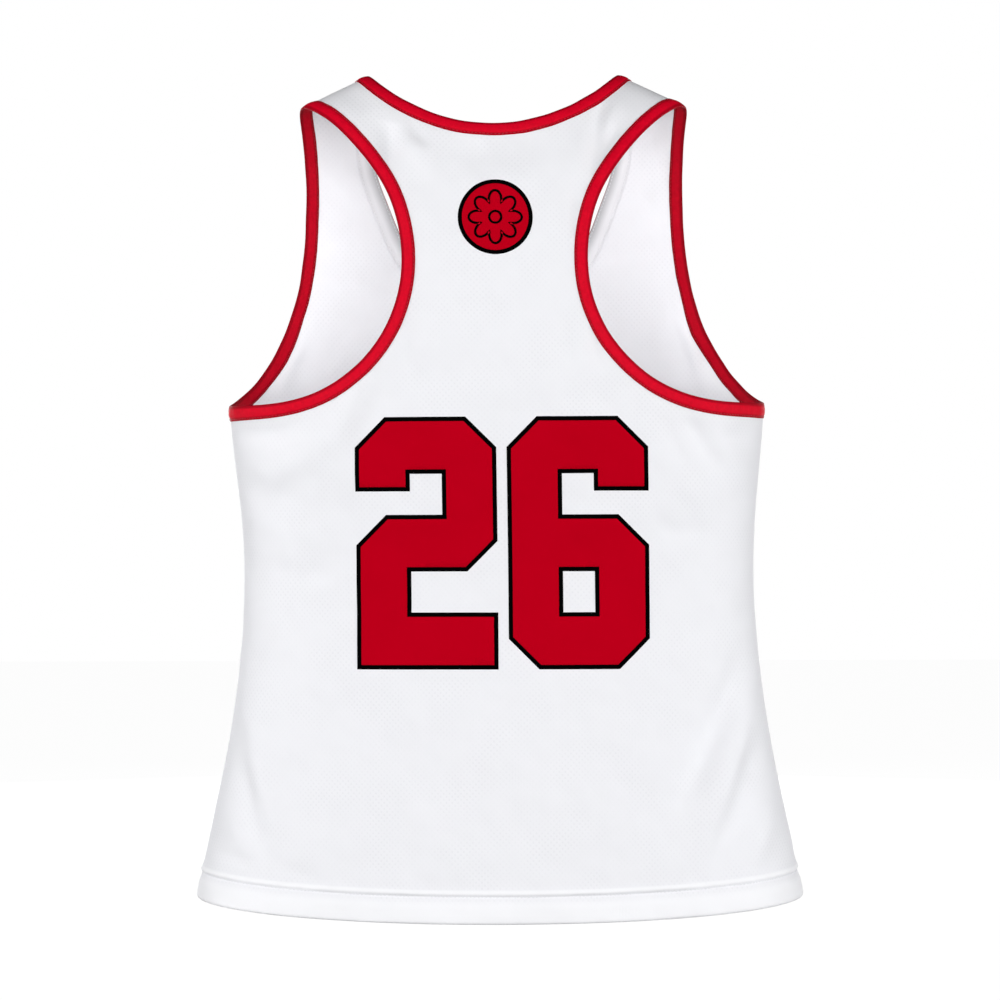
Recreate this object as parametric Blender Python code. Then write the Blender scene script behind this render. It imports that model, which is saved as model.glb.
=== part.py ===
"""A racerback lacrosse pinnie, filled out and hollow, held up by its two shoulder straps.

Metres, +Z up. The back of the garment faces -Y and its front faces +Y, so its own left is at -X.
The origin is on the centre plane, level with the middle of the shoulder straps.

Every piece lies on one form: the outside of the cloth. A ring at each height gives the form its
width and its two depths, and a dome closes it over the shoulders. A piece is a sheet of points on
that form, given a wall by moving the points out and in along the form's normal.
"""

import math
from collections import namedtuple

import bpy
import numpy as np
from mathutils.geometry import delaunay_2d_cdt

# ---------------------------------------------------------------- driving dimensions

CLOTH = 0.0012  # one layer of mesh jersey
SEAM_GAP = 0.0003  # between pieces that are sewn to each other
BINDING_WIDTH = 0.0108  # finished width of the neck and armhole binding
BINDING_PROUD = 0.0005  # how far the folded binding stands out of the cloth at its crown
BINDING_BACK = 0.0017  # how far it reaches inside the form
CROWN = (0.3, 1.0, 0.5)  # share of BINDING_PROUD at the finished edge, middle and sewn edge
CROWN_BACK = (0.8, 1.0, 1.0)  # share of BINDING_BACK at the same places
TAPE_WIDTH = 0.0090  # white tape inside the front neck
TAPE_THICK = 0.0010
HEM_DEPTH = 0.0220  # turned hem, two layers
HEM_STEP = 0.0010  # height over which the second layer ends

# The form's rings: half width at the side seams, and depth of the back and of the front.
Ring = namedtuple("Ring", "height half_width back_depth front_depth")
RINGS = (
    (0.060, 0.2050, 0.0900, 0.0880),
    (-0.100, 0.2090, 0.0920, 0.0920),  # shoulder blades
    (-0.180, 0.2120, 0.0930, 0.0980),
    (-0.258, 0.2129, 0.0910, 0.1000),  # chest
    (-0.326, 0.2063, 0.0850, 0.0940),
    (-0.386, 0.2034, 0.0810, 0.0880),  # waist
    (-0.446, 0.2066, 0.0840, 0.0880),
    (-0.526, 0.2180, 0.0920, 0.0920),
    (-0.606, 0.2346, 0.1010, 0.0980),
    (-0.652, 0.2432, 0.1045, 0.1015),  # hem
)
RING_FULLNESS = 0.36  # how much boxier than an ellipse a ring is

# The dome over the shoulders.
DOME_HEIGHT = 0.220
SHOULDER_SLOPE = 0.50
SHOULDER_ROUND = 0.045  # rounds the slope off across the centre plane
STRAP_MIDDLE = 0.1265  # half width at which the straps are carried, level with the origin

# The hem line: lower at the centre than at the side seams.
HEM_SIDE = -0.6425
HEM_DROP = 0.0095

# Finished edges, half of each: from the centre back over the strap to the centre front, and
# from the side seam up the back, over the strap and down the front. The row of side "ridge"
# lies on top of the strap, where the shoulder line gives its height.
Edge = namedtuple("Edge", "side across height")
NECK_EDGE = (
    ("back", 0.0000, -0.0325),
    ("back", 0.0290, -0.0295),
    ("back", 0.0480, -0.0235),
    ("back", 0.0620, -0.0170),
    ("back", 0.0810, -0.0045),
    ("back", 0.0915, 0.0045),
    ("ridge", 0.1012, 0.0),
    ("front", 0.1010, -0.0150),
    ("front", 0.0970, -0.0570),
    ("front", 0.0890, -0.0800),
    ("front", 0.0765, -0.1110),
    ("front", 0.0560, -0.1420),
    ("front", 0.0300, -0.1600),
    ("front", 0.0000, -0.1660),
)
ARMHOLE_EDGE = (
    ("side", 0.2139, -0.2508),
    ("back", 0.1970, -0.2523),
    ("back", 0.1784, -0.2511),
    ("back", 0.1517, -0.2456),
    ("back", 0.1240, -0.2334),
    ("back", 0.1020, -0.2154),
    ("back", 0.0850, -0.1920),
    ("back", 0.0745, -0.1640),
    ("back", 0.0718, -0.1400),
    ("back", 0.0752, -0.1090),
    ("back", 0.0820, -0.0880),
    ("back", 0.0935, -0.0675),
    ("back", 0.1093, -0.0469),
    ("back", 0.1290, -0.0268),
    ("back", 0.1400, -0.0185),
    ("ridge", 0.1535, 0.0),
    ("front", 0.1548, -0.0260),
    ("front", 0.1532, -0.0530),
    ("front", 0.1536, -0.0910),
    ("front", 0.1570, -0.1290),
    ("front", 0.1635, -0.1620),
    ("front", 0.1725, -0.1880),
    ("front", 0.1855, -0.2140),
    ("front", 0.2000, -0.2345),
    ("front", 0.2105, -0.2460),
)

# Largest folds: a soft trough (negative) or ridge (positive) along a line on one side.
Fold = namedtuple("Fold", "side x1 z1 x2 z2 half_width height")
FOLDS = (
    ("back", -0.206, -0.270, -0.160, -0.275, 0.010, -0.0022),
    ("back", 0.206, -0.270, 0.160, -0.275, 0.010, -0.0022),
    ("back", 0.212, -0.490, 0.172, -0.615, 0.016, -0.0030),
    ("back", -0.196, -0.520, -0.190, -0.600, 0.016, -0.0028),
    ("front", 0.204, -0.276, 0.150, -0.300, 0.014, -0.0026),
    ("front", -0.204, -0.276, -0.150, -0.300, 0.014, -0.0026),
    ("front", -0.200, -0.500, -0.160, -0.610, 0.018, -0.0030),
)

# Rows of the panels' grids, and columns from the centre line to the side seam.
GRID_COLUMNS = 10
TORSO_ROWS = 11
PANEL_ROWS = {
    "back": {"armhole": 24, "neck": 9, "centre_under_armhole": -0.330},
    "front": {"armhole": 20, "neck": 15, "centre_under_armhole": -0.290},
}
ROW_BEND = 2.0  # power with which a row turns up towards the underarm
CENTRE_RISE = 1.6  # power with which the rows climb the centre line to the neck

# Block numerals of the number 26, in the plane of the back.
NUMERAL_WIDTH = 0.1097
NUMERAL_HEIGHT = 0.1958
STROKE_ACROSS = 0.0425
STROKE_UP = 0.0441
NUMERAL_CHAMFER = 0.0236
NUMERAL_HOOK = 0.0136
NUMERAL_SPACING = 0.0080
NUMERAL_OUTLINE = 0.0034
NUMBER_MIDDLE = 0.0032  # the pair sits a little to the right of the centre line
NUMBER_BASE = -0.4570

# Round badge below the neck.
BADGE_RADIUS = 0.0290
BADGE_OUTLINE = 0.0032
BADGE_CENTRE = (0.0008, -0.1070)
BADGE_SIDES = 36

# What lies on the back: where each layer's two faces are, out from the cloth.
UNDER_LAYER = (0.0003, 0.0008)
TOP_LAYER = (0.0011, 0.0016)
FILL_PITCH = 0.0180  # spacing of the points inside a numeral

# How finely the curves and the form are worked out.
CURVE_STEPS = 24  # points between two rows of an edge's table
WALK_STEPS = 6
SETTLE_STEPS = 8
PROBE = 1e-5
MERGE_DISTANCE = 1e-7
SHARP_ANGLE = math.radians(40)

# ---------------------------------------------------------------- smooth tables and curves


def spline_bends(knots, values, closed):
    """Second derivatives of the cubic spline through values at knots; values are (n, k)."""
    count = len(knots)
    matrix = np.zeros((count, count))
    right = np.zeros((count, values.shape[1]))
    steps = np.diff(knots)
    slopes = np.diff(values, axis=0) / steps[:, None]
    for i in range(1, count - 1):
        matrix[i, i - 1 : i + 2] = steps[i - 1], 2 * (steps[i - 1] + steps[i]), steps[i]
        right[i] = 6 * (slopes[i] - slopes[i - 1])
    matrix[0, 0] = matrix[-1, -1] = 1
    if closed:  # the last knot repeats the first
        matrix[0, [0, 1, -2]] = 2 * (steps[0] + steps[-1]), steps[0], steps[-1]
        right[0] = 6 * (slopes[0] - slopes[-1])
        matrix[-1, 0] = -1
    return np.linalg.solve(matrix, right)


def spline(knots, values, at, closed=False):
    """The cubic spline through values at knots, read at the places at."""
    values = np.asarray(values, float).reshape(len(knots), -1)
    bends = spline_bends(knots, values, closed)
    cell = np.clip(np.searchsorted(knots, at) - 1, 0, len(knots) - 2)
    step = (knots[cell + 1] - knots[cell])[..., None]
    before = (knots[cell + 1] - at)[..., None] / step
    after = 1 - before
    return (
        before * values[cell]
        + after * values[cell + 1]
        + ((before**3 - before) * bends[cell] + (after**3 - after) * bends[cell + 1])
        * step**2
        / 6
    )


RING_TABLE = [Ring(*row) for row in RINGS[::-1]]
RING_HEIGHTS = np.array([ring.height for ring in RING_TABLE])
RING_SIZES = np.array([(r.half_width, r.back_depth, r.front_depth) for r in RING_TABLE])


def ring_at(height):
    """Half width, back depth and front depth of the ring at this height."""
    sizes = spline(RING_HEIGHTS, RING_SIZES, np.asarray(height))
    return sizes[..., 0], sizes[..., 1], sizes[..., 2]


def shoulder_line(across):
    """Height of the top of the dome at this distance from the centre plane."""
    level = math.hypot(STRAP_MIDDLE, SHOULDER_ROUND)
    return SHOULDER_SLOPE * (level - np.hypot(across, SHOULDER_ROUND))


# ---------------------------------------------------------------- the form


def form_gap(points):
    """Zero on the form, negative inside it and positive outside."""
    x, y, z = points.T
    half_width, back, front = ring_at(z)
    share = (x / half_width) ** 2
    fall = (shoulder_line(x) - z) / DOME_HEIGHT
    dome = np.where(fall < 1, fall * (2 - fall), 1.0)
    side = y / np.where(y < 0, back, front)
    return side**2 - dome * (1 - share) * (1 + RING_FULLNESS * share) ** 2


def form_slope(points):
    """Gradient of form_gap."""
    slope = np.empty_like(points)
    for axis in range(3):
        probe = np.zeros(3)
        probe[axis] = PROBE
        slope[:, axis] = form_gap(points + probe) - form_gap(points - probe)
    return slope / (2 * PROBE)


def settled(points):
    """The points moved onto the form, straight towards it."""
    for _ in range(SETTLE_STEPS):
        slope = form_slope(points)
        points = points - slope * (form_gap(points) / (slope**2).sum(1))[:, None]
    return points


def normals(points):
    slope = form_slope(points)
    return slope / np.linalg.norm(slope, axis=1)[:, None]


def from_chart(turn, fall):
    """Points at turn (0 centre back, pi/2 side seam, pi centre front) and fall.

    Fall is an angle down the dome, 0 on the shoulder line and pi/2 at the dome's foot, and
    goes on below it at the same rate.
    """
    turn, fall = np.broadcast_arrays(turn, fall)
    dome = np.minimum(fall, math.pi / 2)
    drop = DOME_HEIGHT * (1 - np.cos(dome) + fall - dome)
    z = -drop
    for _ in range(SETTLE_STEPS):
        half_width, back, front = ring_at(z)
        x = half_width * np.sin(turn)
        z = shoulder_line(x) - drop
    depth = np.where(np.cos(turn) > 0, back, front)
    fullness = 1 + RING_FULLNESS * np.sin(turn) ** 2
    y = -depth * np.cos(turn) * fullness * np.sin(dome)
    return np.stack([x, y, z], -1)


def to_chart(points):
    """Turn and fall of points on the form."""
    x, y, z = np.asarray(points).T
    drop = (shoulder_line(x) - z) / DOME_HEIGHT
    turn = np.arcsin(np.clip(np.abs(x) / ring_at(z)[0], 0, 1))
    turn = np.where(y < 0, turn, math.pi - turn)
    fall = np.where(drop < 1, np.arccos(np.clip(1 - drop, 0, 1)), math.pi / 2 + drop - 1)
    return turn, fall


def on_side(side, across, height):
    """The point of the back or the front that shows at this place from straight on."""
    across, height = np.broadcast_arrays(across, height)
    half_width, back, front = ring_at(height)
    share = np.clip((across / half_width) ** 2, 0, 1)
    fall = np.clip((shoulder_line(across) - height) / DOME_HEIGHT, 0, 1)
    depth = np.sqrt(fall * (2 - fall) * (1 - share)) * (1 + RING_FULLNESS * share)
    y = -back * depth if side == "back" else front * depth
    return np.stack([across, y, height], -1)


def fold_height(points):
    """How far the folds move each point along the form's normal."""
    x, y, z = points.T
    height = np.zeros(len(points))
    for fold in (Fold(*row) for row in FOLDS):
        along_x, along_z = fold.x2 - fold.x1, fold.z2 - fold.z1
        share = (x - fold.x1) * along_x + (z - fold.z1) * along_z
        near = np.clip(share / (along_x**2 + along_z**2), 0, 1)
        away = np.hypot(x - fold.x1 - near * along_x, z - fold.z1 - near * along_z)
        here = y <= 0 if fold.side == "back" else y >= 0
        height += here * fold.height * np.exp(-((away / fold.half_width) ** 2))
    return height


# ---------------------------------------------------------------- finished and cut edges


def edge_points(table):
    """The table's rows as points on the form, for x >= 0."""
    points = []
    for edge in (Edge(*row) for row in table):
        if edge.side == "ridge":
            points.append((edge.across, 0.0, float(shoulder_line(edge.across))))
        elif edge.side == "side":
            points.append((float(ring_at(edge.height)[0]), 0.0, edge.height))
        else:
            points.append(tuple(on_side(edge.side, edge.across, edge.height)))
    return np.array(points)


def closed_curve(points):
    """A smooth closed curve through the points, settled on the form."""
    loop = np.vstack([points, points[:1]])
    knots = np.r_[0, np.cumsum(np.linalg.norm(np.diff(loop, axis=0), axis=1))]
    shares = np.arange(CURVE_STEPS) / CURVE_STEPS
    places = (knots[:-1, None] + np.diff(knots)[:, None] * shares).ravel()
    return settled(spline(knots, loop, places, closed=True))


def ridge_step(table):
    """The step of the closed curve that lies on the shoulder line."""
    return CURVE_STEPS * [row[0] for row in table].index("ridge")


def even_steps(curve, count):
    """count + 1 points spaced evenly along an open curve."""
    length = np.r_[0, np.cumsum(np.linalg.norm(np.diff(curve, axis=0), axis=1))]
    at = np.linspace(0, length[-1], count + 1)
    return np.stack([np.interp(at, length, curve[:, k]) for k in range(3)], -1)


def walked(points, forward, distance):
    """The points moved over the form by distance, square to the direction forward."""
    for _ in range(WALK_STEPS):
        sideways = np.cross(normals(points), forward)
        sideways /= np.linalg.norm(sideways, axis=1)[:, None]
        points = settled(points + sideways * distance / WALK_STEPS)
    return points


def neck_loop():
    """Finished neck edge, from centre back round by +X."""
    half = edge_points(NECK_EDGE)
    other = half[1:-1][::-1] * (-1, 1, 1)
    curve = closed_curve(np.vstack([half, other]))
    ridge = ridge_step(NECK_EDGE)
    front = CURVE_STEPS * (len(NECK_EDGE) - 1)
    back_half = even_steps(curve[: ridge + 1], PANEL_ROWS["back"]["neck"])
    front_half = even_steps(curve[ridge : front + 1], PANEL_ROWS["front"]["neck"])
    right = np.vstack([back_half, front_half[1:]])
    right[0, 0] = right[-1, 0] = 0.0
    return settled(np.vstack([right, right[1:-1][::-1] * (-1, 1, 1)]))


def armhole_loop():
    """Finished armhole edge at +X, from the side seam up the back, over and down the front."""
    curve = closed_curve(edge_points(ARMHOLE_EDGE))
    ridge = ridge_step(ARMHOLE_EDGE)
    back = even_steps(curve[: ridge + 1], PANEL_ROWS["back"]["armhole"])
    front = even_steps(np.vstack([curve[ridge:], curve[:1]]), PANEL_ROWS["front"]["armhole"])
    return settled(np.vstack([back, front[1:-1]]))


def along(loop):
    """Direction of a closed loop at each of its points, square to the seams that it crosses."""
    steps = np.roll(loop, -1, axis=0) - np.roll(loop, 1, axis=0)
    on_seam = (np.abs(loop[:, 1]) < PROBE) & (np.abs(loop[:, 0]) > PROBE)
    steps[on_seam] *= (0, 1, 0)
    return steps


def into_cloth(loop, distance):
    """The closed finished edge moved into the cloth, which lies to the left of an armhole."""
    neck = abs(loop[0, 0]) < PROBE
    return walked(loop, -along(loop) if neck else along(loop), distance)


# ---------------------------------------------------------------- sheets, walls and objects


def grid_faces(rows, columns, closed_rows=False):
    """Quads of a grid of points stored row by row."""
    spans = rows if closed_rows else rows - 1
    i, j = np.meshgrid(np.arange(spans), np.arange(columns - 1), indexing="ij")
    first, second = i * columns + j, (i + 1) % rows * columns + j
    return np.stack([first, first + 1, second + 1, second], -1).reshape(-1, 4).tolist()


def wall(name, points, faces, out, into, material):
    """An object whose walls lie out and into along the form's normal from a sheet of points."""
    facing = normals(points)
    lifted = points + facing * fold_height(points)[:, None]
    outer = lifted + facing * np.broadcast_to(out, len(points))[:, None]
    inner = lifted + facing * np.broadcast_to(into, len(points))[:, None]
    count = len(points)
    corners = np.array(faces[0])
    side = np.cross(outer[corners[1]] - outer[corners[0]], outer[corners[-1]] - outer[corners[0]])
    if side @ facing[corners[0]] < 0:
        faces = [face[::-1] for face in faces]
    edges = {(a, b) for face in faces for a, b in zip(face, face[1:] + face[:1])}
    rim = [(b, a, a + count, b + count) for a, b in edges if (b, a) not in edges]
    backs = [[corner + count for corner in face[::-1]] for face in faces]
    mesh = bpy.data.meshes.new(name)
    mesh.from_pydata(np.vstack([outer, inner]).tolist(), [], faces + backs + sorted(rim))
    mesh.validate()
    mesh.shade_smooth()
    mesh.set_sharp_from_angle(angle=SHARP_ANGLE)
    mesh.materials.append(material)
    piece = bpy.data.objects.new(name, mesh)
    bpy.context.scene.collection.objects.link(piece)
    piece.parent = bpy.data.objects["pinnie"]
    return piece


def finish(name, colour, roughness):
    material = bpy.data.materials.new(name)
    material.use_nodes = True
    shader = material.node_tree.nodes["Principled BSDF"]
    shader.inputs["Base Color"].default_value = (*colour, 1)
    shader.inputs["Roughness"].default_value = roughness
    shader.inputs["Metallic"].default_value = 0
    return material


# ---------------------------------------------------------------- panels


def hem_height(turn):
    return HEM_SIDE - HEM_DROP * np.cos(turn) ** 2


def half_panel(side, neck_cut, armhole_cut):
    """Turn and fall of the panel's grid for x >= 0, a row for each step up from the hem."""
    sizes = PANEL_ROWS[side]
    facing = 0.0 if side == "back" else math.pi
    share = np.linspace(0, 1, GRID_COLUMNS + 1)
    turns = facing + (math.pi / 2 - facing) * share
    armhole_turn, armhole_fall = to_chart(armhole_cut)
    neck_turn, neck_fall = to_chart(neck_cut)
    armhole_turn[0] = math.pi / 2
    neck_turn[0] = facing
    armhole_fall[-1] = neck_fall[-1] = 0.0

    def fall_of(turn, height):
        across = ring_at(height)[0] * np.sin(turn)
        return math.pi / 2 + (shoulder_line(across) - height) / DOME_HEIGHT - 1

    rows = []
    centre_fall = float(fall_of(facing, sizes["centre_under_armhole"]))
    bent = centre_fall + (armhole_fall[0] - centre_fall) * share**ROW_BEND
    hem = hem_height(turns)
    for height in (hem, hem + HEM_DEPTH, hem + HEM_DEPTH + HEM_STEP):
        rows.append((turns, fall_of(turns, height)))
    top_of_hem = rows[-1][1]
    for i in range(1, TORSO_ROWS + 1):
        rows.append((turns, top_of_hem + (bent - top_of_hem) * i / TORSO_ROWS))

    centre_rows = sizes["armhole"] - sizes["neck"]
    inner_turn = np.r_[np.full(centre_rows, facing), neck_turn]
    rise = np.linspace(0, 1, centre_rows + 1)[:-1] ** CENTRE_RISE
    inner_fall = np.r_[centre_fall + (neck_fall[0] - centre_fall) * rise, neck_fall]
    for i in range(1, sizes["armhole"] + 1):
        bend = 1 + (ROW_BEND - 1) * max(0.0, 1 - i / centre_rows)
        turn = inner_turn[i] + (armhole_turn[i] - inner_turn[i]) * share
        fall = inner_fall[i] + (armhole_fall[i] - inner_fall[i]) * share**bend
        rows.append((turn, fall))
    turn, fall = (np.array(part) for part in zip(*rows))
    return turn, fall, len(rows) - 1 - sizes["neck"]


def panel(side, neck, armhole, material):
    """One panel: both halves of its grid joined on the centre line below the neck."""
    gap = BINDING_WIDTH + SEAM_GAP
    neck_cut, armhole_cut = into_cloth(neck, gap), into_cloth(armhole, gap)
    neck_steps, armhole_steps = (PANEL_ROWS["back"][key] for key in ("neck", "armhole"))
    if side == "back":
        neck_cut = neck_cut[: neck_steps + 1]
        armhole_cut = armhole_cut[: armhole_steps + 1]
    else:
        last = neck_steps + PANEL_ROWS["front"]["neck"]
        neck_cut = neck_cut[neck_steps : last + 1][::-1]
        armhole_cut = np.vstack([armhole_cut[armhole_steps:], armhole_cut[:1]])[::-1]
    turn, fall, neck_row = half_panel(side, neck_cut, armhole_cut)
    rows, columns = turn.shape
    right = from_chart(turn, fall).reshape(-1, 3)
    lean = -1 if side == "back" else 1
    right[:, 1] += lean * SEAM_GAP / 2
    points = np.vstack([right, right * (-1, 1, 1)])
    faces = grid_faces(rows, columns)
    half = len(right)
    centre = {half + i * columns: i * columns for i in range(neck_row + 1)}
    mirrored = [[centre.get(k + half, k + half) for k in face[::-1]] for face in faces]
    used = sorted({k for face in faces + mirrored for k in face})
    place = {k: n for n, k in enumerate(used)}
    faces = [[place[k] for k in face] for face in faces + mirrored]
    layers = np.where(np.arange(rows) < 2, 2, 1).repeat(columns)
    thickness = CLOTH * np.tile(layers, 2)[used]
    return wall(f"{side}_panel", points[used], faces, 0.0, -thickness, material)


# ---------------------------------------------------------------- bindings and tape


def binding(name, loop, material):
    """A folded strip along a closed finished edge, crowned across its width."""
    strip = np.stack([into_cloth(loop, BINDING_WIDTH * s) for s in (0, 0.5, 1)], 1)
    faces = grid_faces(len(loop), 3, closed_rows=True)
    out = np.tile(BINDING_PROUD * np.array(CROWN), len(loop))
    into = np.tile(-BINDING_BACK * np.array(CROWN_BACK), len(loop))
    return wall(name, strip.reshape(-1, 3), faces, out, into, material)


def front_neck_tape(neck, material):
    """A flat tape inside the front neck, from strap to strap."""
    first = PANEL_ROWS["back"]["neck"] + 1
    last = first + 2 * PANEL_ROWS["front"]["neck"] - 2
    strip = np.stack([into_cloth(neck, TAPE_WIDTH * s) for s in (0, 0.5, 1)], 1)
    strip = strip[first : last + 1]
    faces = grid_faces(len(strip), 3)
    out = -BINDING_BACK - SEAM_GAP
    return wall("front_neck_tape", strip.reshape(-1, 3), faces, out, out - TAPE_THICK, material)


# ---------------------------------------------------------------- numerals and badge


def two_outline(width, height, across, up, chamfer, hook):
    """The figure 2 on a chamfered block, anticlockwise from its lower left corner."""
    space = (height - 3 * up) / 2
    right, inner = width - across, width - chamfer
    top = height - up
    return [
        (0, 0), (width, 0), (width, up), (across, up), (across, up + space),
        (inner, up + space), (width, up + space + chamfer), (width, height - chamfer),
        (inner, height), (chamfer, height), (0, height - chamfer), (0, top - hook),
        (across, top - hook), (across, top), (right, top), (right, top - space),
        (chamfer, top - space), (0, top - space - chamfer),
    ]


def six_outline(width, height, across, up, chamfer, hook):
    """The figure 6 on a chamfered block, anticlockwise from its lower left corner."""
    space = (height - 3 * up) / 2
    right, inner = width - across, width - chamfer
    top = height - up
    return [
        (0, chamfer), (chamfer, 0), (inner, 0), (width, chamfer),
        (width, top - space - chamfer), (inner, top - space), (across, top - space),
        (across, top), (right, top), (right, top - hook), (width, top - hook),
        (width, height - chamfer), (inner, height), (chamfer, height), (0, height - chamfer),
    ]


def six_hole(width, height, across, up):
    space = (height - 3 * up) / 2
    return [(across, up), (across, up + space), (width - across, up + space), (width - across, up)]


def inset(outline, distance):
    """The outline moved to its left by distance, which is inwards if it runs anticlockwise."""
    corners = np.array(outline, float)
    before = corners - np.roll(corners, 1, axis=0)
    after = np.roll(corners, -1, axis=0) - corners
    before /= np.linalg.norm(before, axis=1)[:, None]
    after /= np.linalg.norm(after, axis=1)[:, None]
    left_before, left_after = (np.stack([-d[:, 1], d[:, 0]], 1) for d in (before, after))
    middle = left_before + left_after
    return corners + middle * distance / (1 + (left_before * left_after).sum(1))[:, None]


def divided(outline, pitch):
    """The closed outline with points added so that no side is longer than pitch."""
    points = []
    for a, b in zip(outline, np.roll(outline, -1, axis=0)):
        count = max(1, math.ceil(np.linalg.norm(b - a) / pitch))
        points += [a + (b - a) * k / count for k in range(count)]
    return np.array(points)


def inside(points, outlines):
    """Which points lie inside an odd number of the outlines."""
    crossings = np.zeros(len(points), int)
    for outline in outlines:
        for (x1, z1), (x2, z2) in zip(outline, np.roll(outline, -1, axis=0)):
            spans = (z1 > points[:, 1]) != (z2 > points[:, 1])
            rise = z2 - z1 if z2 != z1 else 1.0
            meets = x1 + (points[:, 1] - z1) * (x2 - x1) / rise
            crossings += spans & (points[:, 0] < meets)
    return crossings % 2 == 1


def filled(outlines, pitch):
    """Points and triangles that fill the outlines, with points inside at the pitch."""
    rings = [divided(np.array(outline, float), pitch) for outline in outlines]
    low, high = rings[0].min(0), rings[0].max(0)
    lines = [np.arange(low[k] + pitch / 2, high[k], pitch) for k in (0, 1)]
    field = np.stack(np.meshgrid(*lines), -1).reshape(-1, 2)
    field = field[inside(field, outlines)]
    edge = np.vstack(rings)
    near = np.linalg.norm(field[:, None] - edge[None], axis=2).min(1)
    field = field[near > pitch / 2]
    sides, start = [], 0
    for ring in rings:
        sides += [(start + k, start + (k + 1) % len(ring)) for k in range(len(ring))]
        start += len(ring)
    points = np.vstack([edge, field])
    made = delaunay_2d_cdt([tuple(p) for p in points], sides, [], 0, MERGE_DISTANCE)
    points = np.array([tuple(p) for p in made[0]])
    triangles = np.array(made[2])
    kept = inside(points[triangles].mean(1), outlines)
    return points, triangles[kept].tolist()


def on_the_back(name, outlines, corner, layer, material):
    """A flat shape laid on the back, its outlines' origin at corner, between a layer's faces."""
    points, faces = filled(outlines, FILL_PITCH)
    used = sorted({k for face in faces for k in face})
    place = {k: n for n, k in enumerate(used)}
    faces = [[place[k] for k in face] for face in faces]
    flat = points[used] + corner
    sheet = settled(on_side("back", flat[:, 0], flat[:, 1]))
    sheet[:, 1] -= SEAM_GAP / 2
    return wall(name, sheet, faces, layer[1], layer[0], material)


def number(black, red):
    """The figures 2 and 6, each a black under-layer and a smaller red top layer."""
    sizes = (NUMERAL_WIDTH, NUMERAL_HEIGHT, STROKE_ACROSS, STROKE_UP)
    first = NUMBER_MIDDLE - NUMERAL_WIDTH - NUMERAL_SPACING / 2
    shapes = {
        "2": [two_outline(*sizes, NUMERAL_CHAMFER, NUMERAL_HOOK)],
        "6": [six_outline(*sizes, NUMERAL_CHAMFER, NUMERAL_HOOK), six_hole(*sizes)],
    }
    for place, (figure, outlines) in enumerate(shapes.items()):
        corner = (first + place * (NUMERAL_WIDTH + NUMERAL_SPACING), NUMBER_BASE)
        on_the_back(f"number_{figure}_outline", outlines, corner, UNDER_LAYER, black)
        smaller = [inset(outline, NUMERAL_OUTLINE) for outline in outlines]
        on_the_back(f"number_{figure}_fill", smaller, corner, TOP_LAYER, red)


def badge(black, red):
    """A plain round badge: a black disc with a smaller red disc on it."""
    turns = np.arange(BADGE_SIDES) * 2 * math.pi / BADGE_SIDES
    circle = np.stack([np.cos(turns), np.sin(turns)], 1)
    on_the_back("badge_outline", [circle * BADGE_RADIUS], BADGE_CENTRE, UNDER_LAYER, black)
    face = circle * (BADGE_RADIUS - BADGE_OUTLINE)
    on_the_back("badge_face", [face], BADGE_CENTRE, TOP_LAYER, red)


# ---------------------------------------------------------------- the garment


def clear_scene():
    for thing in list(bpy.data.objects):
        bpy.data.objects.remove(thing)


def build():
    clear_scene()
    bpy.context.scene.collection.objects.link(bpy.data.objects.new("pinnie", None))
    mesh_jersey = finish("white_mesh_jersey", (0.88, 0.89, 0.91), 0.80)
    tape = finish("white_neck_tape", (0.80, 0.80, 0.82), 0.85)
    red_binding = finish("red_binding", (0.62, 0.01, 0.03), 0.55)
    red = finish("red_number_cloth", (0.50, 0.00, 0.02), 0.60)
    black = finish("black_number_cloth", (0.01, 0.01, 0.01), 0.60)
    neck, armhole = neck_loop(), armhole_loop()
    for side in ("back", "front"):
        panel(side, neck, armhole, mesh_jersey)
    binding("neck_binding", neck, red_binding)
    binding("right_armhole_binding", armhole, red_binding)
    binding("left_armhole_binding", armhole[::-1] * (-1, 1, 1), red_binding)
    front_neck_tape(neck, tape)
    number(black, red)
    badge(black, red)


build()
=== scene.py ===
import math

import bpy
import numpy as np
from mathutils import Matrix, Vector
from mathutils.geometry import delaunay_2d_cdt


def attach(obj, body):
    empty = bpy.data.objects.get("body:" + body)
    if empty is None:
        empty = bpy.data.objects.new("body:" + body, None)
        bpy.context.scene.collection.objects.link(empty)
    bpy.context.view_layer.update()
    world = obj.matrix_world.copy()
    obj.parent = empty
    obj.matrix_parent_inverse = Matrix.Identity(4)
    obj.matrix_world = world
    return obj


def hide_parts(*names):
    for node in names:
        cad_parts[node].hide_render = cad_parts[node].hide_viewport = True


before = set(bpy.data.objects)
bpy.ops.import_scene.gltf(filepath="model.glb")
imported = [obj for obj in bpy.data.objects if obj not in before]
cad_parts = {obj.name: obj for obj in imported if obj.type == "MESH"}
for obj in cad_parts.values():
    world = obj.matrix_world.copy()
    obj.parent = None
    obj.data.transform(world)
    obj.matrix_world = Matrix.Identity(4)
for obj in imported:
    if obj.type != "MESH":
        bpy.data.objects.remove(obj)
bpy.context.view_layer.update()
print("frame loaded")

# ---- the form that every piece of cloth lies on

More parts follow.
